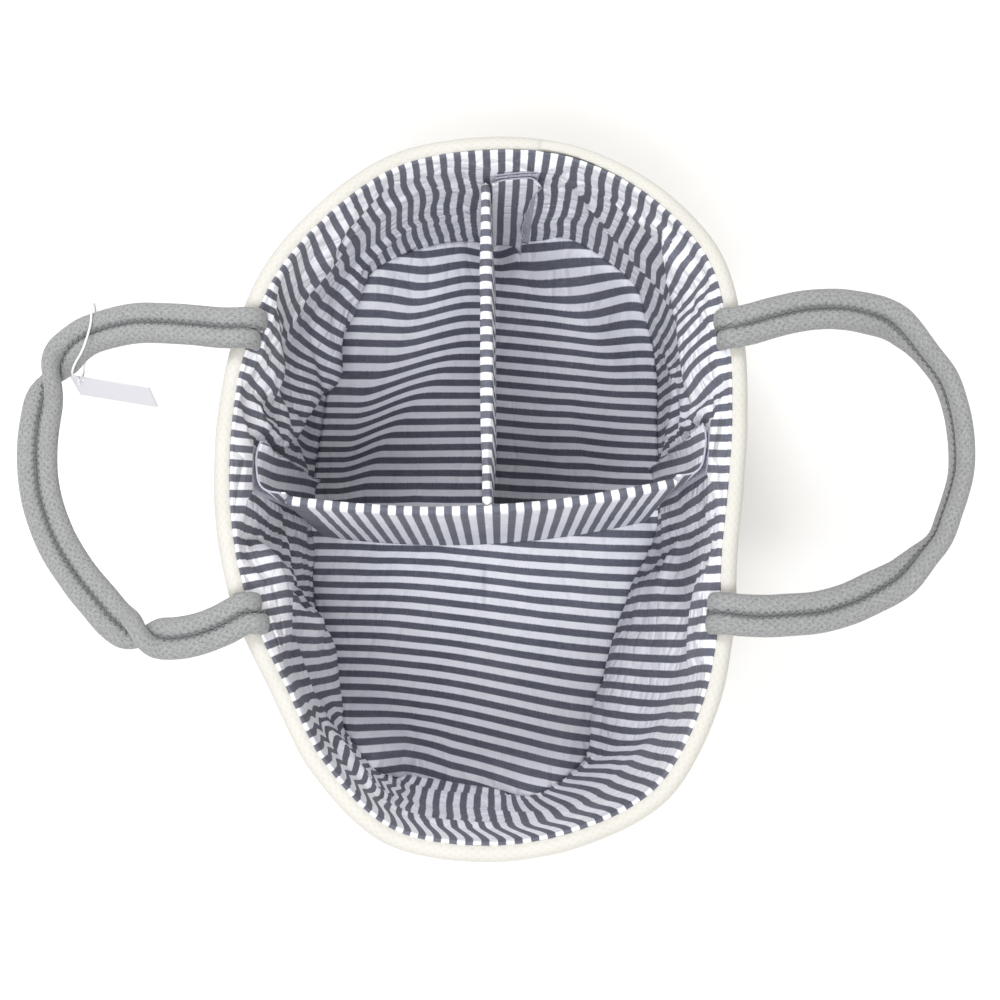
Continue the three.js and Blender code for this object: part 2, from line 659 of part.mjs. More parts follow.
function domeRings(ring, centre, side, outward) {
  const [beyond, width] = DOME_STEP_SHARES;
  const shrunk = ring.map(([x, y, z]) => [
    x - outward * beyond * STRAND_R,
    centre.y + width * (y - centre.y),
    centre.z + width * (z - centre.z),
  ]);
  return [shrunk];
}

// A handle's end: both strands pressed flat and sewn between the rope wall and the lining.
const LOBE_STEPS = 4;

function handleTail(side, y) {
  const station = SIDE_STATIONS[side];
  const outerIn = LINING_OUT - LINING_SEAT + SEAT;
  const rings = [TAIL_FOOT, (TAIL_FOOT + TAIL_TOP) / 2, TAIL_TOP].map((z) => {
    const at = (across, inset) => {
      const place = placeWhere(Y_AXIS, y + across, station, RIM_COIL_Z, inset);
      return [...wallPoint(place, z, inset), z];
    };
    const ring = [at(-TAIL_HALF_WIDTH, outerIn), at(0, outerIn), at(TAIL_HALF_WIDTH, outerIn)];
    for (const lobe of [1, -1]) {
      for (let step = 0; step <= LOBE_STEPS; step += 1) {
        if (lobe < 0 && step === 0) continue;
        const across = (TAIL_HALF_WIDTH / 2) * (lobe + Math.cos((Math.PI * step) / LOBE_STEPS));
        const bulge = Math.sin((Math.PI * step) / LOBE_STEPS) ** (1 / 2);
        ring.push(at(across, outerIn + TAIL_THICKNESS * (1 / 2 + bulge / 2)));
      }
    }
    return ring;
  });
  return skin(rings);
}

// A small blank card hangs from the left handle on a stiff string. The string is a loop that goes
// round both strands askew, and its points are laid out as the distance to the inner side, the height
// and how far the loop bows towards the basket.
const STRING_D = 1.2;
const STRING_CLEARANCE = 4;
const STRING_STEPS = 60;
const STRING_BOW = 5;
const CARD_WIDTH = 42;
const CARD_HEIGHT = 26;
const CARD_THICKNESS = 0.6;
const CARD_HOLE_R = 2;
const CARD_HOLE_EDGE = 5; // from the hole to the card's top and to its end
const CARD_ASIDE = 9; // how far inside the inner strand the card hangs
const CARD_DROP = 12; // from the strands' underside to the hole
const CARD_LEAN = THREE.MathUtils.degToRad(12);
const CARD_TURN = THREE.MathUtils.degToRad(6); // from across the string, seen from above
const TAG_ASKEW = THREE.MathUtils.degToRad(40);
const TAG_STEP = 10; // where on the left handle the string is, in steps from the back leg

function tagFrame() {
  const middle = handleMiddle("left");
  const along = middle[TAG_STEP + 1].clone().sub(middle[TAG_STEP - 1]);
  return { origin: middle[TAG_STEP], turn: Math.atan2(along.y, along.x) - TAG_ASKEW };
}

const TAG_HOLE_ASIDE = STRAND_D + CARD_ASIDE;
const TAG_HOLE_DOWN = STRAND_R + CARD_DROP;

function tagString() {
  const clear = STRAND_R + STRING_CLEARANCE + STRING_D / 2;
  const wide = 1 / Math.cos(TAG_ASKEW);
  const round = [];
  for (const [centre, first, last] of [[STRAND_D / 2, 0, 2], [-STRAND_D / 2, 2, 6]]) {
    for (let eighth = first; eighth <= last; eighth += 1) {
      const angle = (eighth / 8) * FULL_TURN;
      round.push([wide * (centre + clear * Math.cos(angle)), clear * Math.sin(angle)]);
    }
  }
  const inHole = (CARD_HOLE_R - STRING_D / 2) / 2;
  round.push([STRAND_R, -clear - STRING_D]);
  round.push([TAG_HOLE_ASIDE - 3 * STRING_D, -TAG_HOLE_DOWN - inHole]);
  round.push([TAG_HOLE_ASIDE, -TAG_HOLE_DOWN - inHole / 2]);
  round.push([TAG_HOLE_ASIDE + 2 * STRING_D, -TAG_HOLE_DOWN + inHole]);
  round.push([TAG_HOLE_ASIDE, -TAG_HOLE_DOWN + CARD_HOLE_EDGE + STRING_D]);
  const furthest = wide * (STRAND_D / 2 + clear);
  const points = round.map(([aside, z]) => {
    const bow = STRING_BOW * Math.max(0, 1 - (aside / furthest) ** 2);
    return new THREE.Vector3(z > 0 ? -bow : 0, aside, z);
  });
  const path = new THREE.CatmullRomCurve3(points, true, "centripetal").getSpacedPoints(STRING_STEPS).slice(0, -1);
  const rings = ropeRings(path, () => STRING_D / 2, 6, 0, new THREE.Vector3(1, 0, 0), true);
  return skin(rings, true);
}

function tagCard() {
  const outline = new THREE.Shape();
  const [left, right] = [CARD_HOLE_EDGE - CARD_WIDTH, CARD_HOLE_EDGE];
  const [bottom, top] = [CARD_HOLE_EDGE - CARD_HEIGHT, CARD_HOLE_EDGE];
  outline.moveTo(left, bottom);
  outline.lineTo(right, bottom);
  outline.lineTo(right, top);
  outline.lineTo(left, top);
  outline.closePath();
  outline.holes.push(new THREE.Path().absarc(0, 0, CARD_HOLE_R, 0, FULL_TURN, true));
  const card = new THREE.ExtrudeGeometry(outline, { depth: CARD_THICKNESS, bevelEnabled: false, curveSegments: 4 });
  card.translate(0, 0, -CARD_THICKNESS / 2);
  card.rotateX(Math.PI / 2 + CARD_LEAN);
  card.rotateZ(CARD_TURN);
  card.translate(0, TAG_HOLE_ASIDE, -TAG_HOLE_DOWN);
  return card;
}

const paper = material(0xf4f4f2, 0.7);
const whiteString = material(0xf0f0f0, 0.8);

const organizer = new THREE.Group();

function addPiece(name, geometry, finish, parent = organizer) {
  const mesh = new THREE.Mesh(geometry, finish);
  mesh.name = name;
  parent.add(mesh);
  return mesh;
}

const floorRope = floorPath();
addPiece("rope_floor", skin(ropeRings(floorRope, () => ROPE_R, 6, 0)), creamRope);
const wall = wallRope();
addPiece("rope_wall", skin(ropeRings(wall.path, (i) => wall.radii[i], 6, 1 / 2)), creamRope);
console.log("least gap in the floor coil, mm:", leastGap(floorRope, ROPE_D).toFixed(2));
console.log("least gap in the wall coil, mm:", leastGap(wall.path.slice(0, -TAPER_STEPS), ROPE_D).toFixed(2));

addPiece("lining_floor", liningFloor(), stripedCotton);
addPiece("lining_wall", liningWall(), stripedCotton);

for (const end of Object.keys(DIVIDER_ENDS)) {
  addPiece(`${end}_loop_tape`, tape(end, LOOP_TAPE_IN), loopTape);
  addPiece(`${end}_hook_tape`, tape(end, HOOK_TAPE_IN), hookTape);
  const flapTop = DIVIDER_TOP - DIVIDER_THICKNESS / 2 - (end === "back" ? LONG_DROP : 0);
  addPiece(`${end}_flap`, flap(end, flapTop), stripedCotton);
}

addPiece("cross_panel_cover", crossPanel(sleeveSection()), stripedCotton);
addPiece("cross_panel_board", crossPanel(coreSection()), board);
addPiece("long_panel_cover", longPanel(sleeveSection()), stripedCotton);
addPiece("long_panel_board", longPanel(coreSection()), board);

for (const side of Object.keys(HANDLES)) {
  const { middle, turn } = hingeLine(side);
  const handle = new THREE.Group();
  handle.position.set(middle.x, middle.y, PIVOT_Z);
  handle.rotation.z = turn;
  organizer.add(handle);
  addPiece(`${side}_handle_outer_strand`, strand(side, "outer"), greyRope, handle);
  addPiece(`${side}_handle_inner_strand`, strand(side, "inner"), greyRope, handle);
  addPiece(`${side}_handle_back_tail`, handleTail(side, LEG_CENTRES[0]), greyRope);
  addPiece(`${side}_handle_front_tail`, handleTail(side, LEG_CENTRES[1]), greyRope);
  if (side === "left") {
    const { origin, turn: tagTurn } = tagFrame();
    const tag = new THREE.Group();
    tag.position.copy(origin);
    tag.rotation.z = tagTurn;
    handle.add(tag);
    addPiece("tag_string", tagString(), whiteString, tag);
    addPiece("tag_card", tagCard(), paper, tag);
  }
}

export default organizer;
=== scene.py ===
import math

import bpy
import numpy as np
from mathutils import Matrix, Vector, noise


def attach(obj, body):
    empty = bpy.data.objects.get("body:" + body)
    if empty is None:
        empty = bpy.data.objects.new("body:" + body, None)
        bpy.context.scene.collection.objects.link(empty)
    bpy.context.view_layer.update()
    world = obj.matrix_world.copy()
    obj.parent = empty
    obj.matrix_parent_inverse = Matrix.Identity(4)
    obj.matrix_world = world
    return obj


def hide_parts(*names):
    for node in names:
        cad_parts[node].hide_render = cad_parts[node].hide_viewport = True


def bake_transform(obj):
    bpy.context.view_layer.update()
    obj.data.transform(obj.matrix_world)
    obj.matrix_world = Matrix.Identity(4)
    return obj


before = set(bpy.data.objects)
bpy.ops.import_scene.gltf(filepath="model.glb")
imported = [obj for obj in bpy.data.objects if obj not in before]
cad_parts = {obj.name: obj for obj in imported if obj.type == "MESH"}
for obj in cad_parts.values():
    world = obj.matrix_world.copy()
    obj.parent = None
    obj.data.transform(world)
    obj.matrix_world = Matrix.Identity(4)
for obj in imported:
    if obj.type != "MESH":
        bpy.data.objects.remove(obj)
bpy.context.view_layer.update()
bpy.ops.object.select_all(action="DESELECT")


# Camera
# The caddy is seen from above, from about 0.8 m over its rim and a little in front of its middle,
# by a camera that leans forwards by seven degrees.
mm = 0.001
half_picture, lens_reach, lean_forwards = 500, 1575, 190
camera_data = bpy.data.cameras.new("camera")
camera_data.angle = 2 * math.atan(half_picture / lens_reach)
camera_data.clip_start = 0.01
camera = bpy.data.objects.new("camera", camera_data)
bpy.context.scene.collection.objects.link(camera)
camera.location = (9.453 * mm, -100.341 * mm, 952.582 * mm)
camera.rotation_euler = (math.atan(lean_forwards / lens_reach), 0, 0)
bpy.context.scene.camera = camera
bpy.context.scene.view_settings.view_transform = "Standard"


# Table and light
# A plain white table in a white room. A big soft light hangs over the caddy, a little in front of
# it, and a small one at the back left brightens the wall across from it.
def linear(hex_colour):
    """An sRGB colour, as the linear one that a shader takes."""
    channels = [int(hex_colour[i : i + 2], 16) / 255 for i in (1, 3, 5)]
    return (*[c / 12.92 if c <= 0.04045 else ((c + 0.055) / 1.055) ** 2.4 for c in channels], 1)


def add_node(tree, kind, inputs=(), **settings):
    """Adds a shader node. Inputs are pairs of socket and value, or of socket and another's output."""
    node = tree.nodes.new("ShaderNode" + kind)
    for key, value in settings.items():
        setattr(node, key, value)
    for key, value in dict(inputs).items():
        if isinstance(value, bpy.types.NodeSocket):
            tree.links.new(value, node.inputs[key])
        else:
            node.inputs[key].default_value = value
    return node


def maths(tree, operation, first, second=0.0, third=0.0):
    """One sum, as a node's output, as all of these are."""
    return add_node(tree, "Math", {0: first, 1: second, 2: third}, operation=operation).outputs[0]


def weighed(tree, *parts):
    """The sum of values, each times its weight."""
    total = 0.0
    for value, weight in parts:
        total = maths(tree, "MULTIPLY_ADD", value, weight, total)
    return total


def spread(tree, value, low, high):
    """A value, with what lies between two others spread over 0 to 1."""
    return add_node(tree, "MapRange", {0: value, 1: low, 2: high}).outputs[0]


def mix_colours(tree, share, first, second):
    """A colour between two others."""
    return add_node(tree, "Mix", {"Factor": share, 6: first, 7: second}, data_type="RGBA").outputs[2]


def noise_at(tree, where, scale, detail=2.0, roughness=0.5):
    """Soft noise, so many patches to the metre."""
    inputs = {"Vector": where, "Scale": scale, "Detail": detail, "Roughness": roughness}
    return add_node(tree, "TexNoise", inputs).outputs[0]


def cells_at(tree, where, scale, feature="F1"):
    """Distances in a pattern of cells, so many to the metre."""
    return add_node(tree, "TexVoronoi", {"Vector": where, "Scale": scale}, feature=feature).outputs[0]


def object_place(tree):
    """The place on the piece itself, in metres."""
    return add_node(tree, "TexCoord").outputs["Object"]


def new_finish(name, roughness, sheen=0.0):
    """A new material, its node tree and its main shader."""
    finish = bpy.data.materials.new(name)
    finish.use_nodes = True
    tree = finish.node_tree
    shader = tree.nodes["Principled BSDF"]
    shader.inputs["Roughness"].default_value = roughness
    shader.inputs["Specular IOR Level"].default_value = 0.2
    shader.inputs["Sheen Weight"].default_value = sheen
    shader.inputs["Sheen Roughness"].default_value = 0.6
    return finish, tree, shader


def colour_by(tree, shader, share, shade, pale):
    """Colours the shader between two sRGB colours."""
    tree.links.new(mix_colours(tree, share, linear(shade), linear(pale)), shader.inputs["Base Color"])


def raise_by(tree, shader, height, distance, strength=1.0):
    """Gives the shader a relief, whose height runs from 0 to 1."""
    bump = add_node(tree, "Bump", {"Height": height, "Distance": distance, "Strength": strength})
    tree.links.new(bump.outputs[0], shader.inputs["Normal"])


def fine_finish(name, shade, pale, pattern, measures, roughness, sheen=0.0, relief=0.0):
    """A material with one fine pattern, in colour and in relief."""
    finish, tree, shader = new_finish(name, roughness, sheen)
    share = pattern(tree, object_place(tree), *measures)
    colour_by(tree, shader, share, shade, pale)
    if relief:
        raise_by(tree, shader, share, relief)
    return finish


# White laminate, even but for a faint cloudiness of 33 mm.
table_finish = fine_finish("white_laminate_table", "#f4f4f4", "#f7f7f7", noise_at, [30.0], 0.5)
bpy.ops.mesh.primitive_plane_add(size=5, location=(0, 0, -0.5 * mm))
table = bpy.context.object
table.name = "table"
table.data.materials.append(table_finish)

world = bpy.data.worlds.new("white_studio")
bpy.context.scene.world = world
world.use_nodes = True
background = world.node_tree.nodes["Background"].inputs
background["Color"].default_value = linear("#fffcf6")
background["Strength"].default_value = 0.72

for name, place, aim, energy, size in (
    ("overhead_light", (-0.1, -0.85, 1.65), (0, 0, 0.1), 20, 0.8),
    ("side_light", (-0.45, 0.75, 1.15), (0.03, -0.1, 0.1), 8, 0.5),
):
    bpy.ops.object.light_add(type="AREA", location=place)
    light = bpy.context.object
    light.name = name
    light.data.energy = energy
    light.data.size = size
    light.data.color = (0.95, 0.97, 1)
    light.rotation_euler = (Vector(aim) - light.location).to_track_quat("-Z", "Y").to_euler()
bpy.ops.object.select_all(action="DESELECT")


# Rope wall
# One cotton rope, 9.4 mm thick, is wound seventeen times round the floor, each turn on the one
# below, and climbs at the back. A machine's zigzag thread sews each turn to the next outside.
def unit(vectors):
    """The same directions, all of length 1."""
    return vectors / np.linalg.norm(vectors, axis=-1, keepdims=True)


def travel(line):
    """How far along its line each point is."""
    steps = np.linalg.norm(np.diff(line, axis=-2), axis=-1)
    return np.concatenate([np.zeros((*steps.shape[:-1], 1)), np.cumsum(steps, axis=-1)], axis=-1)


def evenly(points, count):
    """The same line with that many points, evenly spaced."""
    travelled = travel(points)
    at = np.linspace(0, travelled[-1], count)
    return np.column_stack([np.interp(at, travelled, column) for column in points.T])


def smooth_line(corners, count, closed=False):
    """Evenly spaced points on a smooth line through the corners."""
    p = np.asarray(corners, float)
    p = np.vstack([p[-1:], p, p[:2]]) if closed else np.vstack([2 * p[0] - p[1], p, 2 * p[-1] - p[-2]])
    gaps = np.sqrt(np.linalg.norm(np.diff(p, axis=0), axis=1))
    t = np.linspace(0, 1, 32, endpoint=False)[:, None]
    stretches = []
    for i in range(len(p) - 3):
        a, b, c, d = p[i : i + 4]
        g, h, k = gaps[i : i + 3]
        leave = ((b - a) / g - (c - a) / (g + h) + (c - b) / h) * h
        arrive = ((c - b) / h - (d - b) / (h + k) + (d - c) / k) * h
        squared, cubed = 3 * (c - b) - 2 * leave - arrive, 2 * (b - c) + leave + arrive
        stretches.append(b + leave * t + squared * t**2 + cubed * t**3)
    return evenly(np.vstack([*stretches, p[-2:-1]]), count)


def waver(at, longest, seed):
    """Smooth unevenness between about -1 and 1, as hands and machines leave it."""
    rng = np.random.default_rng(seed)
    sizes = (1, 0.61, 0.37, 0.23)
    return sum(size * np.sin(2 * np.pi * (at / (longest * size) + rng.random())) for size in sizes) / 1.7


rope_radius = 4.7 * mm
coil_pitch = 10 * mm
wall_loops = 17
wall_foot = rope_radius
rim_z = wall_foot + wall_loops * coil_pitch
rim_top = rim_z + rope_radius

# The foot is two half circles with straights between them.
plan_steps = 1440
plan_step = np.arange(plan_steps + 1)
foot_radius, foot_core, foot_back = 110 * mm, 61 * mm, 8 * mm
half_turn = np.radians(np.arange(181))[:, None]
back_turn = np.hstack([foot_radius * np.cos(half_turn), foot_core + foot_radius * np.sin(half_turn)])
foot_turns = np.vstack([back_turn[90:], -back_turn, back_turn[:91]]) + (0, foot_back)
foot_line = evenly(foot_turns, plan_steps + 1)
foot_length = 2 * np.pi * foot_radius + 4 * foot_core
back_share = np.pi * foot_radius / 2 / foot_length

# The rim is lopsided: its distance from the middle every 15 degrees, from the right.
rim_size = 176 * mm
rim_shares = np.array([
    0.716, 0.757, 0.839, 0.943, 0.991, 1.012, 0.998, 0.979, 0.92, 0.863, 0.797, 0.748,
    0.727, 0.731, 0.753, 0.794, 0.898, 0.996, 1.012, 1.009, 0.987, 0.888, 0.787, 0.719,
])  # fmt: skip
rim_angles = np.radians(15 * np.arange(24))
rim_corners = rim_size * np.column_stack([rim_shares * np.cos(rim_angles), rim_shares * np.sin(rim_angles)])
rim_outline = smooth_line(np.roll(rim_corners, -6, axis=0), plan_steps + 1, closed=True)
left_turn = np.argmax(rim_outline[:, 1] <= foot_back)
front_turn = np.argmax((rim_outline[:, 1] < 0) & (rim_outline[:, 0] >= 0))
right_turn = front_turn + np.argmax(rim_outline[front_turn:, 1] >= foot_back)
rim_turns = [0, left_turn, front_turn, right_turn, plan_steps]
rim_places = np.interp(plan_step, np.arange(5) * plan_steps / 4, rim_turns)
rim_line = np.column_stack([np.interp(rim_places, plan_step, column) for column in rim_outline.T])


def wall_points(share, z, inset):
    """Points at a share of the way round, from the back by the left, and so far in from the rope's middle."""
    share, z, inset = np.broadcast_arrays(np.asarray(share, float), z, inset)
    lean = np.clip((z - wall_foot) / (rim_z - wall_foot), 0, 1)[..., None]

    def on(line, s):
        return np.stack([np.interp(s % 1 * plan_steps, plan_step, column) for column in line.T], -1)

    def middle(s):
        return on(foot_line, s) * (1 - lean) + on(rim_line, s) * lean

    along = unit(middle(share + 0.003) - middle(share - 0.003))
    inwards = np.stack([-along[..., 1], along[..., 0]], -1)
    return np.concatenate([middle(share) + inwards * inset[..., None], z[..., None]], -1)


def new_piece(name, shape, body, finish, slot, *replaces):
    """A mesh from points, faces and cloth places, in metres, that rides on a body."""
    points, faces, uv = shape
    mesh = bpy.data.meshes.new(name)
    mesh.from_pydata(np.asarray(points).tolist(), [], [list(map(int, face)) for face in faces])
    mesh.uv_layers.new(name="cloth").data.foreach_set("uv", np.asarray(uv, np.float32).ravel())
    mesh.materials.append(finish)
    mesh.polygons.foreach_set("use_smooth", [True] * len(mesh.polygons))
    made = bpy.data.objects.new(name, mesh)
    bpy.context.scene.collection.objects.link(made)
    if body:
        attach(made, body)
    if replaces:
        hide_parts(*replaces)
    return made


def tube(path, wide, high, sides, up=(0, 0, 1), closed=False, lowest=None):
    """Points, faces and cloth places of a tube along a path, so wide beside it and so high above it."""
    path = np.asarray(path, float)
    count = len(path)
    along = np.roll(path, -1, 0) - np.roll(path, 1, 0)
    if not closed:
        along[0], along[-1] = path[1] - path[0], path[-1] - path[-2]
    along = unit(along)
    beside = unit(np.cross(along, np.asarray(up, float)))
    above = np.cross(beside, along)
    angle = np.arange(sides) / sides * 2 * np.pi
    wide, high = (np.broadcast_to(size, count)[:, None, None] for size in (wide, high))
    across = wide * np.cos(angle)[None, :, None] * beside[:, None]
    upwards = high * np.sin(angle)[None, :, None] * above[:, None]
    rings = path[:, None] + across + upwards
    if lowest is not None:
        rings[..., 2] = np.maximum(rings[..., 2], lowest)
    row = np.arange(count if closed else count - 1)[:, None]
    here, after = row * sides, (row + 1) % count * sides
    side = np.arange(sides)
    after_side = (side + 1) % sides
    faces = np.stack([here + side, after + side, after + after_side, here + after_side], -1).reshape(-1, 4).tolist()
    travelled = travel(np.vstack([path, path[:1]]))
    around = np.arange(sides + 1) / sides * (np.pi * float(np.mean(wide + high)))
    u0, u1, v0, v1 = np.broadcast_arrays(travelled[row], travelled[row + 1], around[:-1], around[1:])
    uv = np.stack([u0, v0, u1, v0, u1, v1, u0, v1], -1).reshape(-1, 2)
    if not closed:
        last = (count - 1) * sides
        faces += [list(range(sides)), list(range(last + sides - 1, last - 1, -1))]
        uv = np.vstack([uv, np.tile([[0, 0]], (sides, 1)), np.tile([[travelled[count - 1], 0]], (sides, 1))])
    return rings.reshape(-1, 3), faces, uv


def climb(into):
    """How far a turn of the wall has climbed, at a share of the way over the back."""
    return np.sqrt(1 - np.cos(np.clip(into, 0, 1) * np.pi / 2) ** 4)


def to_and_fro(count, reach):
    """The zigzag of a sewing thread, as distances to one side and to the other."""
    return np.where(np.arange(count) % 2, reach, -reach)


def cloth_place(tree):
    """The places along the rope or cloth and across it, in metres."""
    place = add_node(tree, "SeparateXYZ", {0: add_node(tree, "UVMap", uv_map="cloth").outputs[0]})
    return place.outputs[0], place.outputs[1]


def braid_ribs(tree, u, v, around, length):
    """Ribs that slant both ways round a 10 mm rope, so many round it and each so long."""
    ribs, girth = [], 31.4 * mm
    for slant in (1, -1):
        turns = weighed(tree, (u, 1 / length), (v, slant * around / girth))
        ribs.append(maths(tree, "SINE", weighed(tree, (turns, 2 * math.pi))))
    return maths(tree, "MULTIPLY_ADD", maths(tree, "MAXIMUM", *ribs), 0.5, 0.5)


def drawn_out(tree, along, across):
    """A place whose pattern is drawn out one way more than the other."""
    return add_node(tree, "CombineXYZ", {0: weighed(tree, along), 1: weighed(tree, *across)}).outputs[0]


def rope_cotton(name, pale, shade, relief):
    """Soft cotton with a slanting braid, 5.2 mm long, and fluff that is drawn coarser than real."""
    finish, tree, shader = new_finish(name, 0.95, sheen=0.15)
    braid = braid_ribs(tree, *cloth_place(tree), 8, 5.2 * mm)
    where = object_place(tree)
    fluff = noise_at(tree, where, 900.0, 3.0, 0.7)
    patches = noise_at(tree, where, 35.0)
    tone = weighed(tree, (fluff, 0.35), (patches, 0.5), (braid, 0.25))
    colour_by(tree, shader, spread(tree, tone, 0.3, 0.85), shade, pale)
    raise_by(tree, shader, weighed(tree, (braid, 1), (fluff, 0.5)), relief)
    return finish


# Undyed braided cotton, dull and a little warm, and the thread that sews its turns.
cream_rope = rope_cotton("cream_cotton_rope", "#d2d0ca", "#c6c4bd", 0.1 * mm)
cream_thread = rope_cotton("cream_sewing_thread", "#ccc9c0", "#b9b5aa", 0.05 * mm)

# The rope is wound level but for the back, and ends in a taper under the last turn.
loop_steps = 192
half_high, half_wide = 5.05 * mm, 4.9 * mm
wound = np.arange(wall_loops * loop_steps + 1) / loop_steps
level = np.floor(wound) + climb(wound % 1 / (2 * back_share))
end_share = np.linspace(0, 0.42, 32)[1:]
end_room = coil_pitch * (1 - climb(end_share)) - 0.6 * mm
shares = np.concatenate([wound - back_share, 2 * back_share * end_share - back_share])
heights = np.concatenate([wall_foot + coil_pitch * level, rim_top - end_room / 2])
rope_high = np.concatenate([np.full(len(wound), half_high), end_room / 2 + 0.2 * mm])
rope_wide = np.concatenate([np.full(len(wound), half_wide), half_wide * (end_room / end_room[0]) ** 0.4])
travelled = np.arange(len(shares)) * foot_length / loop_steps
insets = 0.25 * mm * waver(travelled, 0.31, 3) + 0.12 * mm * waver(travelled, 0.043, 4)
path = wall_points(shares, heights + 0.12 * mm * waver(travelled, 0.24, 5), insets)
rope = tube(path, rope_wide, rope_high, 14, lowest=0)
new_piece("wall_rope", rope, "basket", cream_rope, "cream_rope", "rope_wall")

# Its thread lies in the valley between two turns, outside.
stitch_legs = 312
wound = np.arange((wall_loops - 1) * stitch_legs + 1) / stitch_legs
level = np.floor(wound) + climb(wound % 1 / (2 * back_share)) + 0.5
thread_z = wall_foot + coil_pitch * level + to_and_fro(len(wound), 2.2 * mm)
path = wall_points(wound - back_share, thread_z, -4.4 * mm)
new_piece("wall_rope_thread", tube(path, 0.4 * mm, 0.4 * mm, 3), "basket", cream_thread, "cream_rope")


# Rope floor
# The same rope is first wound flat, round a straight core, into an oval that is sewn through in the
# same way. The table and the load press its underside flat.
floor_pitch = 10 * mm
floor_loops = 11
floor_z = 4.07 * mm


def floor_turns(beside, loops):
    """The way that the floor's rope runs, or a line beside it."""
    path = [] if beside else [[(0, -foot_core)]]
    turn = np.pi * np.linspace(0, 1, 41)
    for loop in range(1, loops + 1):
        back, front = floor_pitch * (loop - 0.5) + beside, floor_pitch * loop + beside
        path.append(np.column_stack([back * np.cos(turn) - floor_pitch / 2, foot_core + back * np.sin(turn)]))
        path.append(np.column_stack([-front * np.cos(turn), -front * np.sin(turn) - foot_core]))
    path.append([(front, foot_core)])
    return np.vstack(path) + (0, foot_back)


path = floor_turns(0, floor_loops)
path = np.column_stack([path, np.full(len(path), floor_z)])
rope = tube(path, 5 * mm, 4.25 * mm, 12, lowest=0)
new_piece("floor_rope", rope, "basket", cream_rope, "cream_rope", "rope_floor")

thread_radius = 0.35 * mm
path = evenly(floor_turns(floor_pitch / 2, floor_loops - 1), 1700)
along = unit(np.gradient(path, axis=0))
beside = np.column_stack([along[:, 1], -along[:, 0]])
path = path + beside * to_and_fro(len(path), 1.6 * mm)[:, None]
path = np.column_stack([path, np.full(len(path), thread_radius)])
thread = tube(path, thread_radius, thread_radius, 3, lowest=0)
new_piece("floor_rope_thread", thread, "basket", cream_thread, "cream_rope")


# Lining
# One striped cotton bag, sewn from a wall and a floor. Its top edge is turned over the inner shoulder
# of the rim and sewn there. Below it hangs loose and creased, and only the divider's tapes hold it.
def striped_cotton(name):
    """Plain weave with printed stripes, 8 mm from stripe to stripe across the cloth's first direction."""
    finish, tree, shader = new_finish(name, 0.9, sheen=0.1)
    u, v = cloth_place(tree)
    warp = noise_at(tree, drawn_out(tree, (u, 1800), [(v, 160)]), 1.0, 1.0)
    weft = noise_at(tree, drawn_out(tree, (u, 160), [(v, 1800)]), 1.0, 1.0)
    weave = weighed(tree, (warp, 0.5), (weft, 0.5))
    turns = weighed(tree, (u, 1 / (8 * mm)), (weft, 0.5 / 8))
    stripe = spread(tree, maths(tree, "SINE", weighed(tree, (turns, 2 * math.pi))), -0.16, 0.2)
    patches = noise_at(tree, object_place(tree), 22.0)
    tone = spread(tree, weighed(tree, (weave, 0.6), (patches, 0.4)), 0.32, 0.68)
    ink = mix_colours(tree, tone, linear("#50525f"), linear("#747683"))
    cloth = mix_colours(tree, tone, linear("#ecedf7"), linear("#fbfbff"))
    tree.links.new(mix_colours(tree, stripe, ink, cloth), shader.inputs["Base Color"])
    net = cells_at(tree, drawn_out(tree, (u, 45), [(v, 95)]), 1.0, "DISTANCE_TO_EDGE")
    crease = maths(tree, "MINIMUM", weighed(tree, (net, 5)), 1)
    raise_by(tree, shader, weighed(tree, (crease, 1), (weave, 0.2)), 0.9 * mm, 0.8)
    return finish


def share_at(axis, value, near, z, inset):
    """The share of the way round, near a given one, where the wall crosses a line."""
    low, high = near - 0.25, near + 0.25
    low_side = np.sign(wall_points(low, z, inset)[axis] - value)
    for _ in range(40):
        middle = (low + high) / 2
        still_low = np.sign(wall_points(middle, z, inset)[axis] - value) == low_side
        low, high = (middle, high) if still_low else (low, middle)
    return low


def smooth_step(value):
    """From 0 to 1 without a corner."""
    value = np.clip(value, 0, 1)
    return value * value * (3 - 2 * value)


# Where each end of the divider and each pair of tapes meets the wall: axis, place on it, share near it.
lining_inset = 5.2 * mm
tape_foot, tape_top = 42.74 * mm, 170.74 * mm
flap_seam, flap_width = 2.8 * mm, 27 * mm
panels_at = {"left": (1, -6 * mm, 0.25), "right": (1, 3 * mm, 0.75), "back": (0, 2 * mm, 0.0)}
tapes_at = {end: (axis, place + flap_seam + flap_width / 2, near) for end, (axis, place, near) in panels_at.items()}

# What holds the lining out: the place, half its width, its foot and its depth.
held_out = [((1, y, near), 10.45 * mm, 137.1 * mm, 5.3 * mm) for near in (0.25, 0.75) for y in (79 * mm, -63 * mm)]
held_out += [(at, 13.5 * mm, tape_foot, 5 * mm) for at in tapes_at.values()]


def over(share, z, at, half_width, foot, slope, step):
    """1 over a piece that lies against the wall, and down to 0 beside and below it."""
    axis, centre, near = at
    low, high = sorted(share_at(axis, centre + side * half_width, near, rim_z, lining_inset) for side in (-1, 1))
    middle = (low + high) / 2
    away = np.abs((share - middle + 0.5) % 1 - 0.5) - (high - low) / 2
    return smooth_step(1 - away * foot_length / slope) * smooth_step((z - foot + step) / step)


def bulge(share, z):
    """How far those pieces hold the lining out."""
    deepest = 0 * share * z
    for at, half_width, foot, depth in held_out:
        deepest = np.maximum(deepest, depth * over(share, z, at, half_width, foot, 22 * mm, 14 * mm))
    return deepest


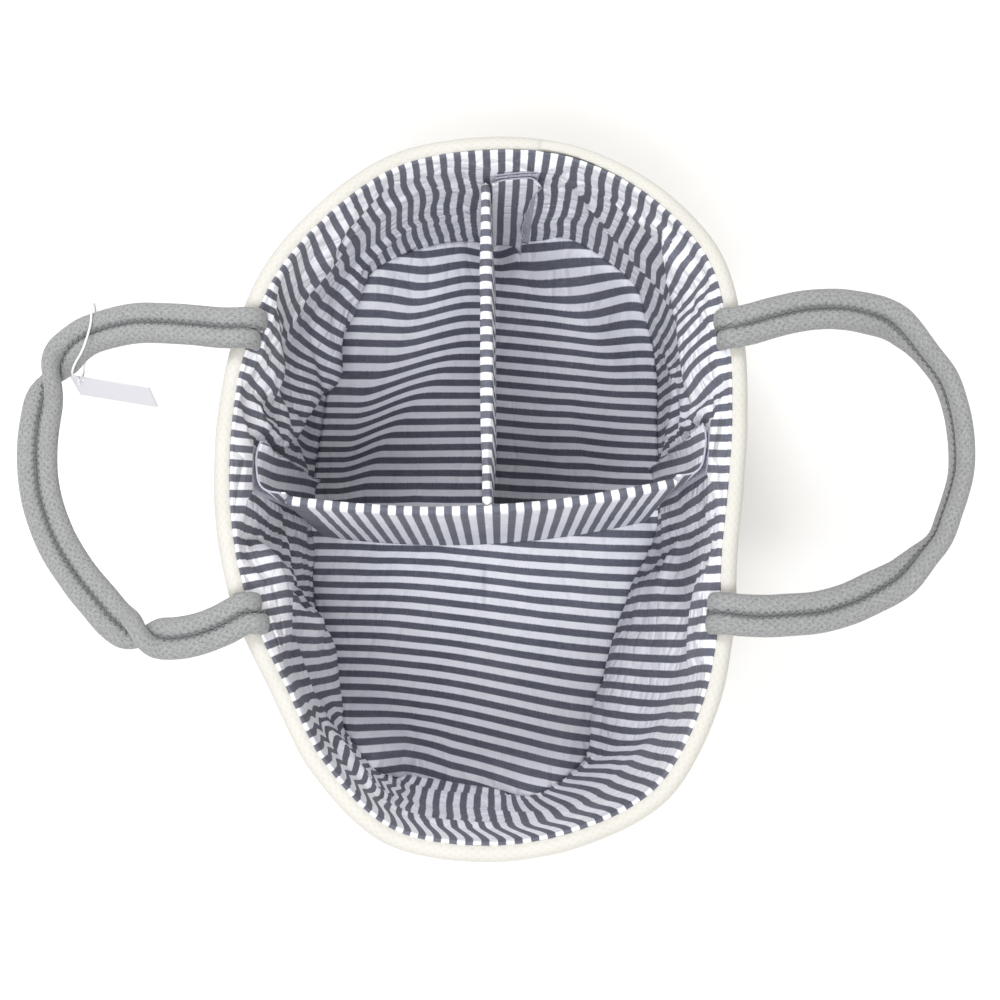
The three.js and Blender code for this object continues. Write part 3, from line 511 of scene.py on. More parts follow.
# Where the seam between the lining's wall and floor lies: share of the way round, inset and height.
seam_lies = np.array([
    (0.0, 6.5, 11), (0.012, 6.5, 17), (0.038, 6.5, 23), (0.064, 6.5, 31), (0.082, 6.5, 36), (0.1, 7, 26),
    (0.115, 8, 13), (0.136, 10.5, 10), (0.162, 15, 9.4), (0.185, 13.5, 9.4), (0.206, 10.8, 9.4),
    (0.235, 6.6, 9.4), (0.262, 6.2, 9.4), (0.274, 9, 9.4), (0.298, 7.5, 9.4), (0.322, 10.7, 9.4),
    (0.351, 10.7, 12), (0.37, 8, 24), (0.387, 6.5, 40), (0.412, 6.2, 64), (0.427, 6.2, 84), (0.438, 6.2, 66),
    (0.451, 6.2, 34), (0.47, 6.3, 20), (0.495, 6.5, 12), (0.513, 6.3, 36), (0.528, 6.2, 64), (0.547, 6.3, 50),
    (0.565, 6.5, 27), (0.577, 6.8, 13), (0.583, 9, 9.4), (0.59, 15, 9.4), (0.6, 22, 9.4), (0.61, 26, 9.4),
    (0.635, 30, 9.4), (0.657, 31, 9.4), (0.68, 28, 9.4), (0.7, 21, 9.4), (0.72, 12, 9.4), (0.738, 6.2, 9.4),
    (0.765, 6.5, 15), (0.812, 6.5, 12), (0.843, 6.5, 24), (0.87, 6.3, 38), (0.885, 6, 62), (0.91, 6, 58),
    (0.942, 6, 56), (0.97, 6.2, 42), (0.985, 6.3, 26), (1.0, 6.5, 11),
])  # fmt: skip
# Its main folds: how far they stand out, how far the stripes are dragged across them and how wide they
# are above and below, all in mm, and the line that they follow, as share of the way round and height.
main_folds = [
    (8, 0, 60, 13, [(0.14, 25), (0.164, 35), (0.21, 82), (0.235, 126)]),
    (3, 3, 25, 20, [(0.094, 158), (0.115, 120), (0.143, 111), (0.156, 114)]),
    (4, 0, 20, 16, [(0.167, 161), (0.181, 136), (0.201, 108)]),
    (5, 2, 30, 10, [(0.267, 97), (0.29, 87), (0.312, 76)]),
    (8, 0, 45, 11, [(0.294, 155), (0.315, 116), (0.328, 72), (0.344, 34)]),
    (8, 0, 50, 13, [(0.776, 140), (0.794, 136), (0.819, 128), (0.838, 125), (0.855, 120), (0.876, 155)]),
    (4, 2, 20, 11, [(0.778, 117), (0.804, 89), (0.831, 56)]),
    (2.5, 4, 10, 6, [(0.883, 87), (0.899, 85), (0.917, 95), (0.933, 119), (0.945, 139), (0.96, 172)]),
]
corner_fold = [(0.572, 0), (0.581, 46), (0.601, 66), (0.619, 102), (0.64, 190)]
# How creased it is round the wall, and how far its stripes are dragged, in mm.
creased_at = [
    (0, 0.8), (0.08, 1.1), (0.2, 1), (0.3, 1.1), (0.33, 0.5), (0.38, 0.5), (0.41, 1.1), (0.46, 0.6),
    (0.55, 0.5), (0.7, 0.5), (0.8, 0.9), (0.87, 1), (0.93, 0.6), (1, 0.8),
]  # fmt: skip
dragged_at = [
    (0, 0), (0.08, 0), (0.12, -6), (0.16, -10), (0.2, -8), (0.24, -4), (0.28, -3), (0.31, 2), (0.38, 2),
    (0.42, 4), (0.46, 12), (0.5, 13), (0.56, 8), (0.61, 0), (0.7, 0), (0.75, 3), (0.79, 9), (0.87, 9),
    (0.9, 3), (0.95, 0), (1, 0),
]  # fmt: skip


def facets(share, up, around, cell, seed):
    """Unevenness of creased cloth, from -1 to 1: flat triangles between random heights."""
    rng = np.random.default_rng(seed)
    heights = rng.uniform(-1, 1, (around, 40))
    sway = rng.random(4) * 2 * np.pi
    turn = 2 * np.pi * share
    across = share * around + 0.3 * np.sin(2.1 * up / cell + turn * round(around / 5) + sway[0])
    across = across + 0.2 * np.sin(turn * round(around / 2.3) + sway[1])
    rise = 5 + up / cell + 0.3 * np.sin(turn * round(around / 3.4) + sway[2])
    rise = rise + 0.2 * np.sin(turn * round(around / 1.9) + up / cell + sway[3])
    i, j = np.floor(across).astype(int), np.floor(rise).astype(int)
    f, g = across - i, rise - j
    flip = (i + j) % 2 == 1
    f = np.where(flip, 1 - f, f)
    near, far = np.where(flip, i + 1, i) % around, np.where(flip, i, i + 1) % around
    a, b, c, d = heights[near, j], heights[far, j], heights[near, j + 1], heights[far, j + 1]
    return np.where(f + g < 1, a + (b - a) * f + (c - a) * g, d + (c - d) * (1 - f) + (b - d) * (1 - g))


def from_fold(share, z, line):
    """How far points of the wall lie from a fold, in mm, and below it as less than nothing."""
    share, z = np.broadcast_arrays(share, z)
    nearest, side = np.full(z.shape, 1e9), np.ones(z.shape)
    for (s0, z0), (s1, z1) in zip(line, line[1:]):
        run = np.array([(s1 - s0) * foot_length / mm, z1 - z0])
        at = np.stack([((share - s0 + 0.5) % 1 - 0.5) * foot_length / mm, z / mm - z0], -1)
        away = np.linalg.norm(at - np.clip(at @ run / (run @ run), 0, 1)[..., None] * run, axis=-1)
        side = np.where(away < nearest, np.sign(run[0] * at[..., 1] - run[1] * at[..., 0]), side)
        nearest = np.minimum(nearest, away)
    return nearest * side


# The wall's cloth, as rows from the hem down to the seam, each with its inset and height.
columns, wall_rows = 400, 54
hem_fold = np.array([(3.3, 178.2), (3.9, 178.9), (4.6, 179.1), (5.2, 178.4), (5.5, 177.2)]) * mm
hem_inset, hem_z = hem_fold[-1]
share = np.arange(columns) / columns
blur = np.exp(-((np.arange(-12, 13) / 2.5) ** 2))
blur = blur / blur.sum()
seam = [np.tile(np.interp(share, seam_lies[:, 0], lies) * mm, 3) for lies in seam_lies[:, 1:].T]
seam_inset, seam_z = (np.convolve(line, blur, "same")[columns:-columns] for line in seam)
down = np.linspace(0, 1, wall_rows + 1)[1:, None]
z = hem_z + (seam_z - hem_z) * down
held = np.zeros((wall_rows, columns))
for end, tape_at in tapes_at.items():
    held = np.maximum(held, over(share, z, tape_at, 15 * mm, tape_foot, 9 * mm, 8 * mm))
    held = np.maximum(held, over(share, z, panels_at[end], 5 * mm, 0, 12 * mm, mm))
loose = (1 - held) * smooth_step(down / 0.15) * smooth_step((1 - down) / 0.12)
creased = np.interp(share, *zip(*creased_at))
creases = creased * (3.8 * facets(share, z, 14, 34 * mm, 1) + 1.4 * facets(share, z, 44, 15 * mm, 2))
drag = creased * (3 * facets(share, z, 13, 42 * mm, 3) + 0.6 * facets(share, z, 43, 15 * mm, 4))
for depth, shift, above, below, line in main_folds:
    away = from_fold(share, z, line)
    creases += depth * np.clip(1 - np.where(away > 0, away / above, -away / below), 0, 1)
    drag += shift * (smooth_step(0.5 + away / 3) - 0.5) * np.clip(1 - np.abs(away) / 45, 0, 1)
drag += np.interp(share, *zip(*dragged_at))
zigzag = np.abs(2 * ((z / (30 * mm)) % 1) - 1) * 2 - 1
drag += 2.6 * zigzag * np.interp(share, [0.37, 0.39, 0.445, 0.465], [0, 1, 1, 0])
drag *= smooth_step(down / 0.35)
nearest_rope, flat_inset = 5.5 * mm, 5.6 * mm
inset = flat_inset + bulge(share, z) + (seam_inset - flat_inset) * smooth_step((down - 0.3) / 0.7)
inset = np.maximum(inset + creases * loose * mm, nearest_rope)
lip_z, lip_half, lip_depth = 174.1 * mm, 3 * mm, 3.3 * mm
for tape_at in tapes_at.values():
    lip = over(share, z, tape_at, 13 * mm, 0, 6 * mm, mm)
    inset += lip_depth * lip * np.clip(1 - np.abs(z - lip_z) / lip_half, 0, 1)

# To the right of the corner fold, the stripes keep to the right wall's direction.
hem = wall_points(share, hem_z, hem_inset)
spots = wall_points(share, z, inset)
front = (share > 0.5) & (share < 0.8)
across_from = np.interp(spots[..., 1], hem[front, 1], share[front])
keeps = np.clip(1 - from_fold(share, z, corner_fold) / 110, 0, 1)
keeps = keeps * smooth_step((share - 0.5) / 0.05) * smooth_step((0.74 - share) / 0.04)

# With the hem, and a little uneven, so that it buckles.
z = np.vstack([np.tile(hem_fold[:, 1:], (1, columns)), z])
inset = np.vstack([np.tile(hem_fold[:, :1], (1, columns)), inset])
held = np.vstack([np.ones((len(hem_fold), columns)), held])
held[len(hem_fold)] = held[-1] = 1
rest = wall_points(share, z, inset)
inward = unit(wall_points(share, z, inset + mm) - rest)
rows = len(z)
started = rest.copy()
for row in range(len(hem_fold), rows - 1):
    for column in range(columns):
        uneven = noise.noise(Vector(rest[row, column]) * 190)
        started[row, column] += inward[row, column] * 0.4 * mm * uneven


def grid(points, u, v, closed=False):
    """A sheet's points, faces and cloth places, from rows of points that may close on themselves."""
    rows, columns = points.shape[:2]
    if closed:
        u = np.hstack([u, 2 * u[:, -1:] - u[:, -2:-1]])
        v = np.hstack([v, v[:, :1]])
    across = np.arange(columns if closed else columns - 1)
    after = (across + 1) % columns
    start = np.arange(rows - 1)[:, None] * columns
    faces = np.stack([start + across, start + after, start + columns + after, start + columns + across], -1)
    places = np.stack([u, v], -1)
    corners = [places[:-1, :-1], places[:-1, 1:], places[1:, 1:], places[1:, :-1]]
    return points.reshape(-1, 3), faces.reshape(-1, 4), np.stack(corners, -2).reshape(-1, 2)


def crumple(sheet, held):
    """Lets a sheet that is cut 4.5% too big buckle between where it is held, at ten times its size."""
    frames = 26
    group = sheet.vertex_groups.new(name="held")
    for index, weight in enumerate(held.ravel()):
        group.add([index], float(weight), "REPLACE")
    sheet.data.transform(Matrix.Scale(10, 4))
    cloth = sheet.modifiers.new("loose", "CLOTH")
    stiffness = {"tension": 15, "compression": 15, "shear": 5, "bending": 0.15}
    for kind, value in stiffness.items():
        setattr(cloth.settings, f"{kind}_stiffness", value)
    cloth.settings.vertex_group_mass = "held"
    cloth.settings.shrink_min = -0.045
    cloth.settings.quality = 5
    cloth.settings.mass = 0.3
    cloth.settings.air_damping = 2
    cloth.settings.effector_weights.gravity = 0
    cloth.point_cache.frame_end = frames
    for frame_number in range(1, frames + 1):
        bpy.context.scene.frame_set(frame_number)
    bpy.context.view_layer.objects.active = sheet
    bpy.ops.object.modifier_apply(modifier="loose")
    bpy.context.scene.frame_set(1)
    sheet.data.transform(Matrix.Scale(0.1, 4))


def thicken(sheet, thickness, offset):
    """Gives a sheet its thickness, behind the side that shows or, at offset 0, on both."""
    bpy.context.view_layer.objects.active = sheet
    thick = sheet.modifiers.new("cloth", "SOLIDIFY")
    thick.thickness = thickness
    thick.offset = offset
    bpy.ops.object.modifier_apply(modifier="cloth")


# White cotton with printed slate stripes, matt, with a net of small creases that the light picks out.
# The threads are drawn 0.6 mm wide, about twice as coarse as they are.
lining_cotton = striped_cotton("striped_cotton")
stripes_round = 125 * 8 * mm
drag = drag * mm * (1 - keeps) + (across_from - share) * stripes_round * keeps
u = share * stripes_round + np.vstack([np.zeros((len(hem_fold), columns)), drag])
v = travel(rest.swapaxes(0, 1)).T
sheet = grid(started, u, v, closed=True)
lining_wall = new_piece("lining_wall_cloth", sheet, None, lining_cotton, "striped_cotton")
crumple(lining_wall, held)
# The folds stay clear of the rope, and stand in by 8 mm at most.
moved = np.array([vertex.co for vertex in lining_wall.data.vertices]).reshape(rows, columns, 3) - rest
inwards = np.sum(moved * inward, -1)
room, most = inset - 5.3 * mm, 8 * mm
outwards = -room * np.tanh(-inwards / np.maximum(room, 0.1 * mm))
kept = np.where(inwards < 0, outwards, most * np.tanh(inwards / most))
moved += inward * (kept - inwards)[..., None]
lining_wall.data.vertices.foreach_set("co", (rest + moved).ravel())
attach(lining_wall, "basket")
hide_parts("lining_wall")


def cross_line(x):
    """The cross panel's middle, which bows back towards its ends and lies a little askew."""
    part = x / (98 * mm)
    return np.column_stack([x, (-11 + 9.5 * part**2 + 4.5 * part) * mm])


# The lining's floor runs in from the seam, and lies on the rope but for its edge.
floor_rows = 40
lies_at = 9.2 * mm
seam = wall_points(share, seam_z, seam_inset)
inmost_y = np.clip(seam[:, 1], foot_back - foot_core, foot_back + foot_core)
inmost = np.column_stack([np.zeros(columns), inmost_y, np.full(columns, lies_at)])
across = np.linspace(1, 0, floor_rows)[:, None, None] ** 0.9
laid = inmost[None] + (seam[None] - inmost[None]) * across
across = across[..., 0]
rises = (seam_z - lies_at) * smooth_step((across - 0.7) / 0.3) ** 1.3
x, y = laid[..., 0] / mm, laid[..., 1] / mm
rises += 0.45 * mm * (1 + facets(x / 400 + 0.5, y * mm + 0.3, 8, 42 * mm, 6)) * smooth_step(across * 1.5)
# The panels stand on it, and hold it down.
panel_feet = [*((3, along) for along in range(-8, 161, 3)), *cross_line(np.arange(-98, 99, 3) * mm) / mm]
beside_panel = np.min([np.hypot(x - a, y - b) for a, b in panel_feet], axis=0)
laid[..., 2] = lies_at + rises * np.where(across > 0.999, 1, smooth_step((beside_panel - 3) / 14))
# Its stripes are dragged askew, in another way in each compartment.
rear = smooth_step((y + 11) / 20)
left_drag = np.interp(y, [0, 20, 48, 75, 109, 150, 175], [0, 3, 10, 15, 8, 6, 4])
left_turns = np.interp(y, [20, 48, 75, 109, 150], [-80, -71, -57, -31, -25])
left_width = np.interp(y, [20, 48, 75, 109, 150], [20, 24, 40, 44, 34])
right_drag = np.interp(y, [0, 20, 75, 109, 150], [4, 6, 9, 11, 15])
front_drag = np.interp(y, [-160, -130, -70, -20, 0], [14, 14, 9, 5, 4])
left_drag *= smooth_step((left_turns - x) / left_width + 0.5)
drag = rear * np.where(x < 0, left_drag, right_drag * x / 100)
drag += (1 - rear) * front_drag * ((x + 20) / 100 - 0.25 * np.sin((x + 95) / 32))
drag += 0.7 * facets(x / 400 + 0.5, y * mm + 0.3, 9, 33 * mm, 7)
drag -= 3.5 * np.clip(1 - np.abs(x + 45) / 26, 0, 1) * smooth_step((-105 - y) / 35)
sheet = grid(laid, laid[..., 1] + drag * mm, laid[..., 0], closed=True)
lining_floor = new_piece("lining_floor_cloth", sheet, "basket", lining_cotton, "striped_cotton", "lining_floor")

# The floor's middle is closed, and both get the cloth's thickness.
bpy.context.view_layer.objects.active = lining_floor
bpy.ops.object.mode_set(mode="EDIT")
bpy.ops.mesh.select_all(action="SELECT")
bpy.ops.mesh.remove_doubles(threshold=0.02 * mm)
bpy.ops.object.mode_set(mode="OBJECT")
for cloth in (lining_wall, lining_floor):
    thicken(cloth, 0.6 * mm, -1)


# Divider
# Two padded panels, sewn together as a T. Each is a thin foam board in a sleeve of the striped
# cotton, folded over its top and sewn shut at its ends.
divider_foot, divider_top = 9.74 * mm, 172.74 * mm
panel_ends = {"left": -97.95 * mm, "right": 98.06 * mm, "back": 160.45 * mm}


def panel_cover(name, line, tops, replaced, painted_shade_end=0, seam_at=-1, puffs=0, half_thick=2.5 * mm):
    """A padded sleeve along a line in plan, with a height for each of its points."""
    stations, side_rows, end_thick = len(line), 34, 2.5 * mm
    along = unit(np.gradient(line, axis=0))
    beside = np.column_stack([-along[:, 1], along[:, 0]])
    travelled = travel(line)
    from_end = np.minimum(travelled, travelled[-1] - travelled)
    thick = end_thick + (half_thick - end_thick) * smooth_step((from_end - 12 * mm) / (30 * mm))
    thick *= np.sqrt(1 - (1 - np.clip(from_end / (2.6 * mm), 0.02, 1)) ** 2)
    up = np.linspace(0, 1, side_rows)
    arch = np.radians(np.linspace(0, 180, 13))[1:-1]
    across = np.concatenate([np.ones(side_rows), np.cos(arch), -np.ones(side_rows)])
    level = np.concatenate([up, np.ones(len(arch)), up[::-1]])
    rise = np.concatenate([np.zeros(side_rows), np.sin(arch), np.zeros(side_rows)])
    arch_foot = (tops - half_thick)[:, None]
    z = divider_foot + (arch_foot - divider_foot) * level + rise * half_thick
    points = np.empty((stations, len(across), 3))
    points[..., :2] = line[:, None] + (beside * thick[:, None])[:, None] * across[None, :, None]
    points[..., 2] = z
    for i in range(stations):
        # The padding swells unevenly, but for the seam of the T and the sewn ends.
        sewn_in = 0.7 * math.exp(-(((travelled[i] - seam_at) / (1.3 * mm)) ** 2))
        free, puffed = min(1, from_end[i] / (8 * mm)), puffs * min(1, from_end[i] / (40 * mm))
        for j in range(1, len(across) - 1):
            spot = Vector(points[i, j])
            swell = 0.45 * noise.noise(spot * 38) + 0.22 * noise.noise(spot * 95) - sewn_in
            swell += puffed * math.sin(math.pi * level[j]) * (across[j] < -0.5)
            points[i, j, :2] += beside[i] * (mm * swell * free * np.sign(across[j]) * min(1, abs(across[j]) * 2))
            points[i, j, 2] += 0.3 * mm * noise.noise(spot * 60) * rise[j]
    around = travel(np.column_stack([across * half_thick, z[0]]))
    # On the front face, the first stretch keeps one place in the stripes. That makes a plain patch of turned cloth
    # at the sewn end, and the mid grey that this place gives it is painted shade.
    printed = np.where(across < -0.99, np.maximum(travelled, painted_shade_end)[:, None], travelled[:, None]) + 0.5 * painted_shade_end
    points, faces, uv = grid(points, printed, np.tile(around, (stations, 1)), closed=True)
    first, last = range(len(across)), range(len(points) - len(across), len(points))
    faces = [*faces.tolist(), list(first)[::-1], list(last)]
    uv = np.vstack([uv, np.zeros((2 * len(across), 2))])
    cover = new_piece(name, (points, faces, uv), "divider", lining_cotton, "striped_cotton", replaced)


x = np.linspace(panel_ends["left"], panel_ends["right"], 150)
tops = np.full(150, divider_top)
# At the left end, its front face starts with a plain mid grey patch 8 mm long: painted shade where the sleeve's
# sewn end lies in shadow.
panel_cover("cross_panel_sleeve", cross_line(x), tops, "cross_panel_cover", painted_shade_end=8 * mm, seam_at=101 * mm)
along_panel = np.linspace(0, 1, 120)
line = np.column_stack([(3 - along_panel) * mm, np.linspace(-8.3 * mm, panel_ends["back"], 120)])
tops = divider_top - 10 * mm * along_panel
panel_cover("long_panel_sleeve", line, tops, "long_panel_cover", puffs=1.6, half_thick=3.1 * mm)

# Foam board, pale and dull. Its cells are drawn 1.1 mm wide, about twice as coarse as they are.
foam_board = fine_finish("pale_foam_board", "#d9cfba", "#efe7d6", cells_at, [900.0], 0.8, relief=0.2 * mm)
for name in ("cross_panel_board", "long_panel_board"):
    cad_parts[name].material_slots[0].material = foam_board


# Tapes and flaps
# A strip of brushed loop tape is sewn to the lining at each end of the divider. A flap of the
# striped cotton, with a pale bound edge, is sewn to the panel's end and folds back over it, and
# strips of hook tape on the flaps grip the loop tapes.

# Brushed nylon loops, soft and matt, in tufts of 0.7 mm, about twice as coarse as they are.
loop_nylon = fine_finish("brushed_nylon_loop", "#aeb0be", "#dcdde8", cells_at, [1500.0], 0.7, 0.2, 0.5 * mm)
# Moulded nylon hooks, 1.4 mm apart, whose rows look darker than the loops.
hook_nylon = fine_finish("nylon_hook", "#999baa", "#c9cad8", cells_at, [700.0], 0.7, 0.2, 0.8 * mm)
# Satin tape, smooth and greyish, with faint puckers of 2 mm.
satin_binding = fine_finish("grey_satin_binding", "#a0a2b0", "#c0c1cd", cells_at, [500.0], 0.7, 0.2, 0.05 * mm)

tape_half, strip_rows, strip_columns = 11 * mm, 30, 14
flap_foot, flap_rows, flap_columns = 36.74 * mm, 44, 36
flap_inset = 14 * mm
cut_across = np.linspace(0, 1, strip_columns)
flap_across = np.linspace(0, 1, flap_columns)
for end, (axis, panel, near) in panels_at.items():
    at_back = end == "back"
    sewn, middle, fastener = panel + flap_seam, tapes_at[end][1], f"{end}_fastener"
    kinds = (("loop", 11.4 * mm, loop_nylon, "basket"), ("hook", 12.7 * mm, hook_nylon, fastener))
    for kind, strip_inset, finish, body in kinds:
        low, high = sorted(share_at(axis, middle + side * tape_half, near, rim_z, strip_inset) for side in (-1, 1))
        # The back's tapes are cut askew at their top.
        strip_top = tape_top - (9 * mm if at_back else 0) * cut_across
        z = np.linspace(strip_top, np.full(strip_columns, tape_foot), strip_rows)
        strip = wall_points(np.linspace(low, high, strip_columns), z, strip_inset)
        sheet = grid(strip, 0 * z, 0 * z)
        tape = new_piece(f"{end}_{kind}_strip", sheet, body, finish, f"{kind}_tape", f"{end}_{kind}_tape")
        thicken(tape, 0.8 * mm, 0)

    # The flap leaves the panel's end, turns into the wall's way in a soft bend and narrows downwards.
    if at_back:
        flap_top, slant, narrow_shares, lifts, pulled = 160.24 * mm, 10 * mm, (0, 0.08, 0.25, 0.24), 3 * mm, 0.2
    else:
        flap_top, slant, narrow_shares, lifts, pulled = 170.24 * mm, 0, (0, 0.02, 0.05, 0.1), 2.2 * mm, 0.15
    heights = np.linspace(flap_top, flap_foot, flap_rows)
    flap, outwards = [], []
    for z in heights:
        low_by = (flap_top - z) / (flap_top - flap_foot)
        narrows = np.interp(low_by, [0, 0.15, 0.4, 1], narrow_shares) * (1 + 0.12 * waver(z, 0.045, 2))
        far = share_at(axis, sewn + flap_width * (1 - narrows), near, rim_z, flap_inset)
        start = share_at(axis, sewn, near, z, flap_inset)
        hem = [panel_ends[end], sewn + 0.6 * mm] if axis else [sewn + 0.6 * mm, panel_ends[end]]
        along_wall = wall_points(np.linspace(start, far, 24), z, flap_inset + 0.07 * mm)[:, :2]
        row = evenly(np.vstack([hem, along_wall]), flap_columns)
        for _ in range(50):
            row[1:-1] = (row[:-2] + 2 * row[1:-1] + row[2:]) / 4
        straight = row[0] + (row[-1] - row[0]) * flap_across[:, None]
        row += (straight - row) * pulled * smooth_step((z - flap_top + 50 * mm) / (50 * mm))
        flap.append(np.column_stack([row, z + slant * (1 - low_by) * flap_across]))
        outwards.append((wall_points(far, z, flap_inset + mm) - wall_points(far, z, flap_inset)) / mm)
    flap = np.array(flap)
    # Its free edge curls off the tape.
    free = np.clip(np.arange(flap_columns) - 26, 0, None) / 9
    curl = lifts * (1 + 0.8 * waver(heights, 0.07, len(end)))[:, None] * free**2
    flap += np.array(outwards)[:, None] * curl[..., None]
    if at_back:
        # It lies flat enough to fold against the long panel.
        clear = np.linspace(0.195, 0.155, flap_rows)[:, None] * (flap[..., 0] - sewn)
        flap[..., 1] = np.maximum(flap[..., 1], panel_ends[end] - clear)
    sheet = grid(flap, travel(flap), np.tile(heights[:, None], (1, flap_columns)))
    piece = new_piece(f"{end}_flap_cloth", sheet, fastener, lining_cotton, "striped_cotton", f"{end}_flap")
    thicken(piece, 0.9 * mm, 0)
    edge = evenly(np.vstack([flap[0, 2:], flap[1:, -1]]), 90)
    bound = tube(edge, 0.5 * mm, 0.5 * mm, 8, up=(0.1, 0.2, 1) if axis else (0.2, 0.1, 1))
    binding = new_piece(f"{end}_flap_binding", bound, fastener, satin_binding, "striped_cotton")


# Handles
# Each handle is two lengths of grey melange rope, sewn side by side with a dark zigzag. Their ends
# are pressed flat and sewn in between the rope wall and the lining. They bend out over the rim.
def melange_rope(name, pale, shade, relief):
    """Grey cotton, knitted in ribs 4.2 mm long, whose light and dark fibres are drawn coarser than real."""
    finish, tree, shader = new_finish(name, 0.95, sheen=0.25)
    u, v = cloth_place(tree)
    where = object_place(tree)
    fibres = noise_at(tree, where, 1000.0, 4.0, 0.75)
    flecks = cells_at(tree, where, 620.0)
    knit = braid_ribs(tree, u, v, 10, 4.2 * mm)
    streaks = noise_at(tree, drawn_out(tree, (u, 700), [(u, 800), (v, 2000)]), 1.0)
    tone = weighed(tree, (fibres, 0.6), (flecks, 0.1), (knit, 0.1), (streaks, 0.4))
    colour_by(tree, shader, spread(tree, tone, 0.45, 0.73), shade, pale)
    raise_by(tree, shader, weighed(tree, (knit, 1), (fibres, 0.6)), relief)
    return finish


# Melange cotton, mid to light grey in fine speckles and streaks, and its darker thread.
grey_rope = melange_rope("grey_melange_rope", "#9d9e9f", "#727373", 0.16 * mm)
dark_thread = melange_rope("dark_sewing_thread", "#797b7e", "#575a5d", 0.05 * mm)

hinge_z = 184.7 * mm
half_span = 71 * mm
half_gap = 5.1 * mm
upwards = np.array([0, 0, 1])
# For each handle: its hinge's middle, turn and way out, how far it reaches and droops, and its lie in
# shares of that, out and back. The left pair is turned over along its outer side and the right pair
# stands on edge there: from and to which shares of its length it turns and turns back, and how far.
handles = {
    "left": (-109.422 * mm, 0.0227, -1, 119 * mm, 34 * mm, [
        (0, 1), (0.14, 1), (0.27, 1.03), (0.4, 1.06), (0.53, 1.08), (0.67, 1.06), (0.77, 1.02), (0.85, 0.94),
        (0.91, 0.83), (0.96, 0.64), (0.99, 0.42), (1, 0.2), (0.98, -0.09), (0.9, -0.43), (0.78, -0.72),
        (0.7, -0.87), (0.61, -1.03), (0.53, -1.11), (0.39, -1.16), (0.26, -1.14), (0.14, -1.07),
        (0.07, -1.01), (0, -1),
    ], (0.29, 0.41, 0.78, 0.865, 180)),
    "right": (116.591 * mm, -0.0451, 1, 125 * mm, 18 * mm, [
        (0, 1), (0.09, 1.02), (0.21, 1.09), (0.33, 1.15), (0.46, 1.18), (0.58, 1.17), (0.69, 1.13),
        (0.77, 1.04), (0.86, 0.89), (0.93, 0.74), (0.98, 0.5), (1, 0.28), (1, 0.1), (0.98, -0.06),
        (0.95, -0.22), (0.91, -0.4), (0.83, -0.55), (0.74, -0.7), (0.63, -0.81), (0.54, -0.89),
        (0.42, -0.96), (0.3, -0.99), (0.18, -1.01), (0, -1),
    ], (0.19, 0.34, 0.61, 0.78, 84)),
}  # fmt: skip


def handle_frame(side):
    """The middle of a handle's hinge line, and the directions out from it and along it, towards the back."""
    x, turn, outward = handles[side][:3]
    out = outward * np.array([math.cos(turn), math.sin(turn), 0])
    return np.array([x, foot_back, hinge_z]), out, np.array([-math.sin(turn), math.cos(turn), 0])


def handle_lie(side):
    """How a handle's middle lies, as distances out, towards the back and up from its hinge line."""
    reach, droop, lies = handles[side][3:6]
    bent = 18.8 * mm
    points = []
    for out, along in lies:
        beyond = max(0, (out * reach - bent) / (reach - bent))
        points.append((out * reach, along * half_span, -droop * beyond**1.5))
    return smooth_line(points, 121)


def strand(side, aside, count):
    """A line from tail to tail beside a handle's middle, the way up from its pair, and where it is flat."""
    middle, out, back = handle_frame(side)
    lying = handle_lie(side)
    along = np.gradient(lying, axis=0)
    beside = -unit(np.column_stack([along[:, 1], -along[:, 0], 0 * along[:, 0]]))
    begins, turned, returns, righted, degrees = handles[side][6]
    length = np.linspace(0, 1, len(lying))[:, None]
    over_by = smooth_step((length - begins) / (turned - begins))
    over_by = math.radians(degrees) * (over_by - smooth_step((length - returns) / (righted - returns)))
    lying = lying + aside * (beside * np.cos(over_by) + upwards * np.sin(over_by))
    outside = lying[:, 0] > 9 * mm
    lying, over_by = lying[outside], over_by[outside]
    lying = middle + lying[:, :1] * out + lying[:, 1:2] * back + lying[:, 2:] * upwards

    tail_inset, bend_radius = 6.87 * mm, 7 * mm
    tails = []
    for sign in (1, -1):
        y = foot_back + sign * (half_span + aside)
        share = share_at(1, y, 0.25 if side == "left" else 0.75, rim_z, tail_inset)
        tail = wall_points(share, np.array([137.3, 146, 156, 165, 172, 177.7]) * mm, tail_inset)
        angle = np.radians([[0], [22], [45], [68], [90]])
        bend = tail[-1] + bend_radius * (out * (1 - np.cos(angle)) + upwards * np.sin(angle))
        tails.append(np.vstack([tail[:-1], bend]))

    # The turns ride along as a fourth column, too small to change the line's length.
    turn_scale = 1e-6
    flat = np.zeros((len(tails[0]), 1))
    line = np.vstack([tails[0], lying, tails[1][::-1]])
    line = smooth_line(np.hstack([line, np.vstack([flat, over_by, flat]) * turn_scale]), count)
    line, over_by = line[:, :3], line[:, 3:] / turn_scale

    along = np.gradient(line, axis=0)
    upright = np.abs(unit(along)[:, 2])
    low = smooth_step((hinge_z - 2 * mm - line[:, 2]) / (8 * mm)) * (np.abs(line[:, 0]) < 125 * mm)
    lean = (smooth_step((upright - 0.25) / 0.7) * (np.abs(line[:, 0]) < 140 * mm))[:, None]
    away = unit(upwards * (1 - lean) - out * lean)
    beside = handles[side][2] * unit(np.cross(along, away))
    return line, away * np.cos(over_by) + beside * np.sin(over_by), low


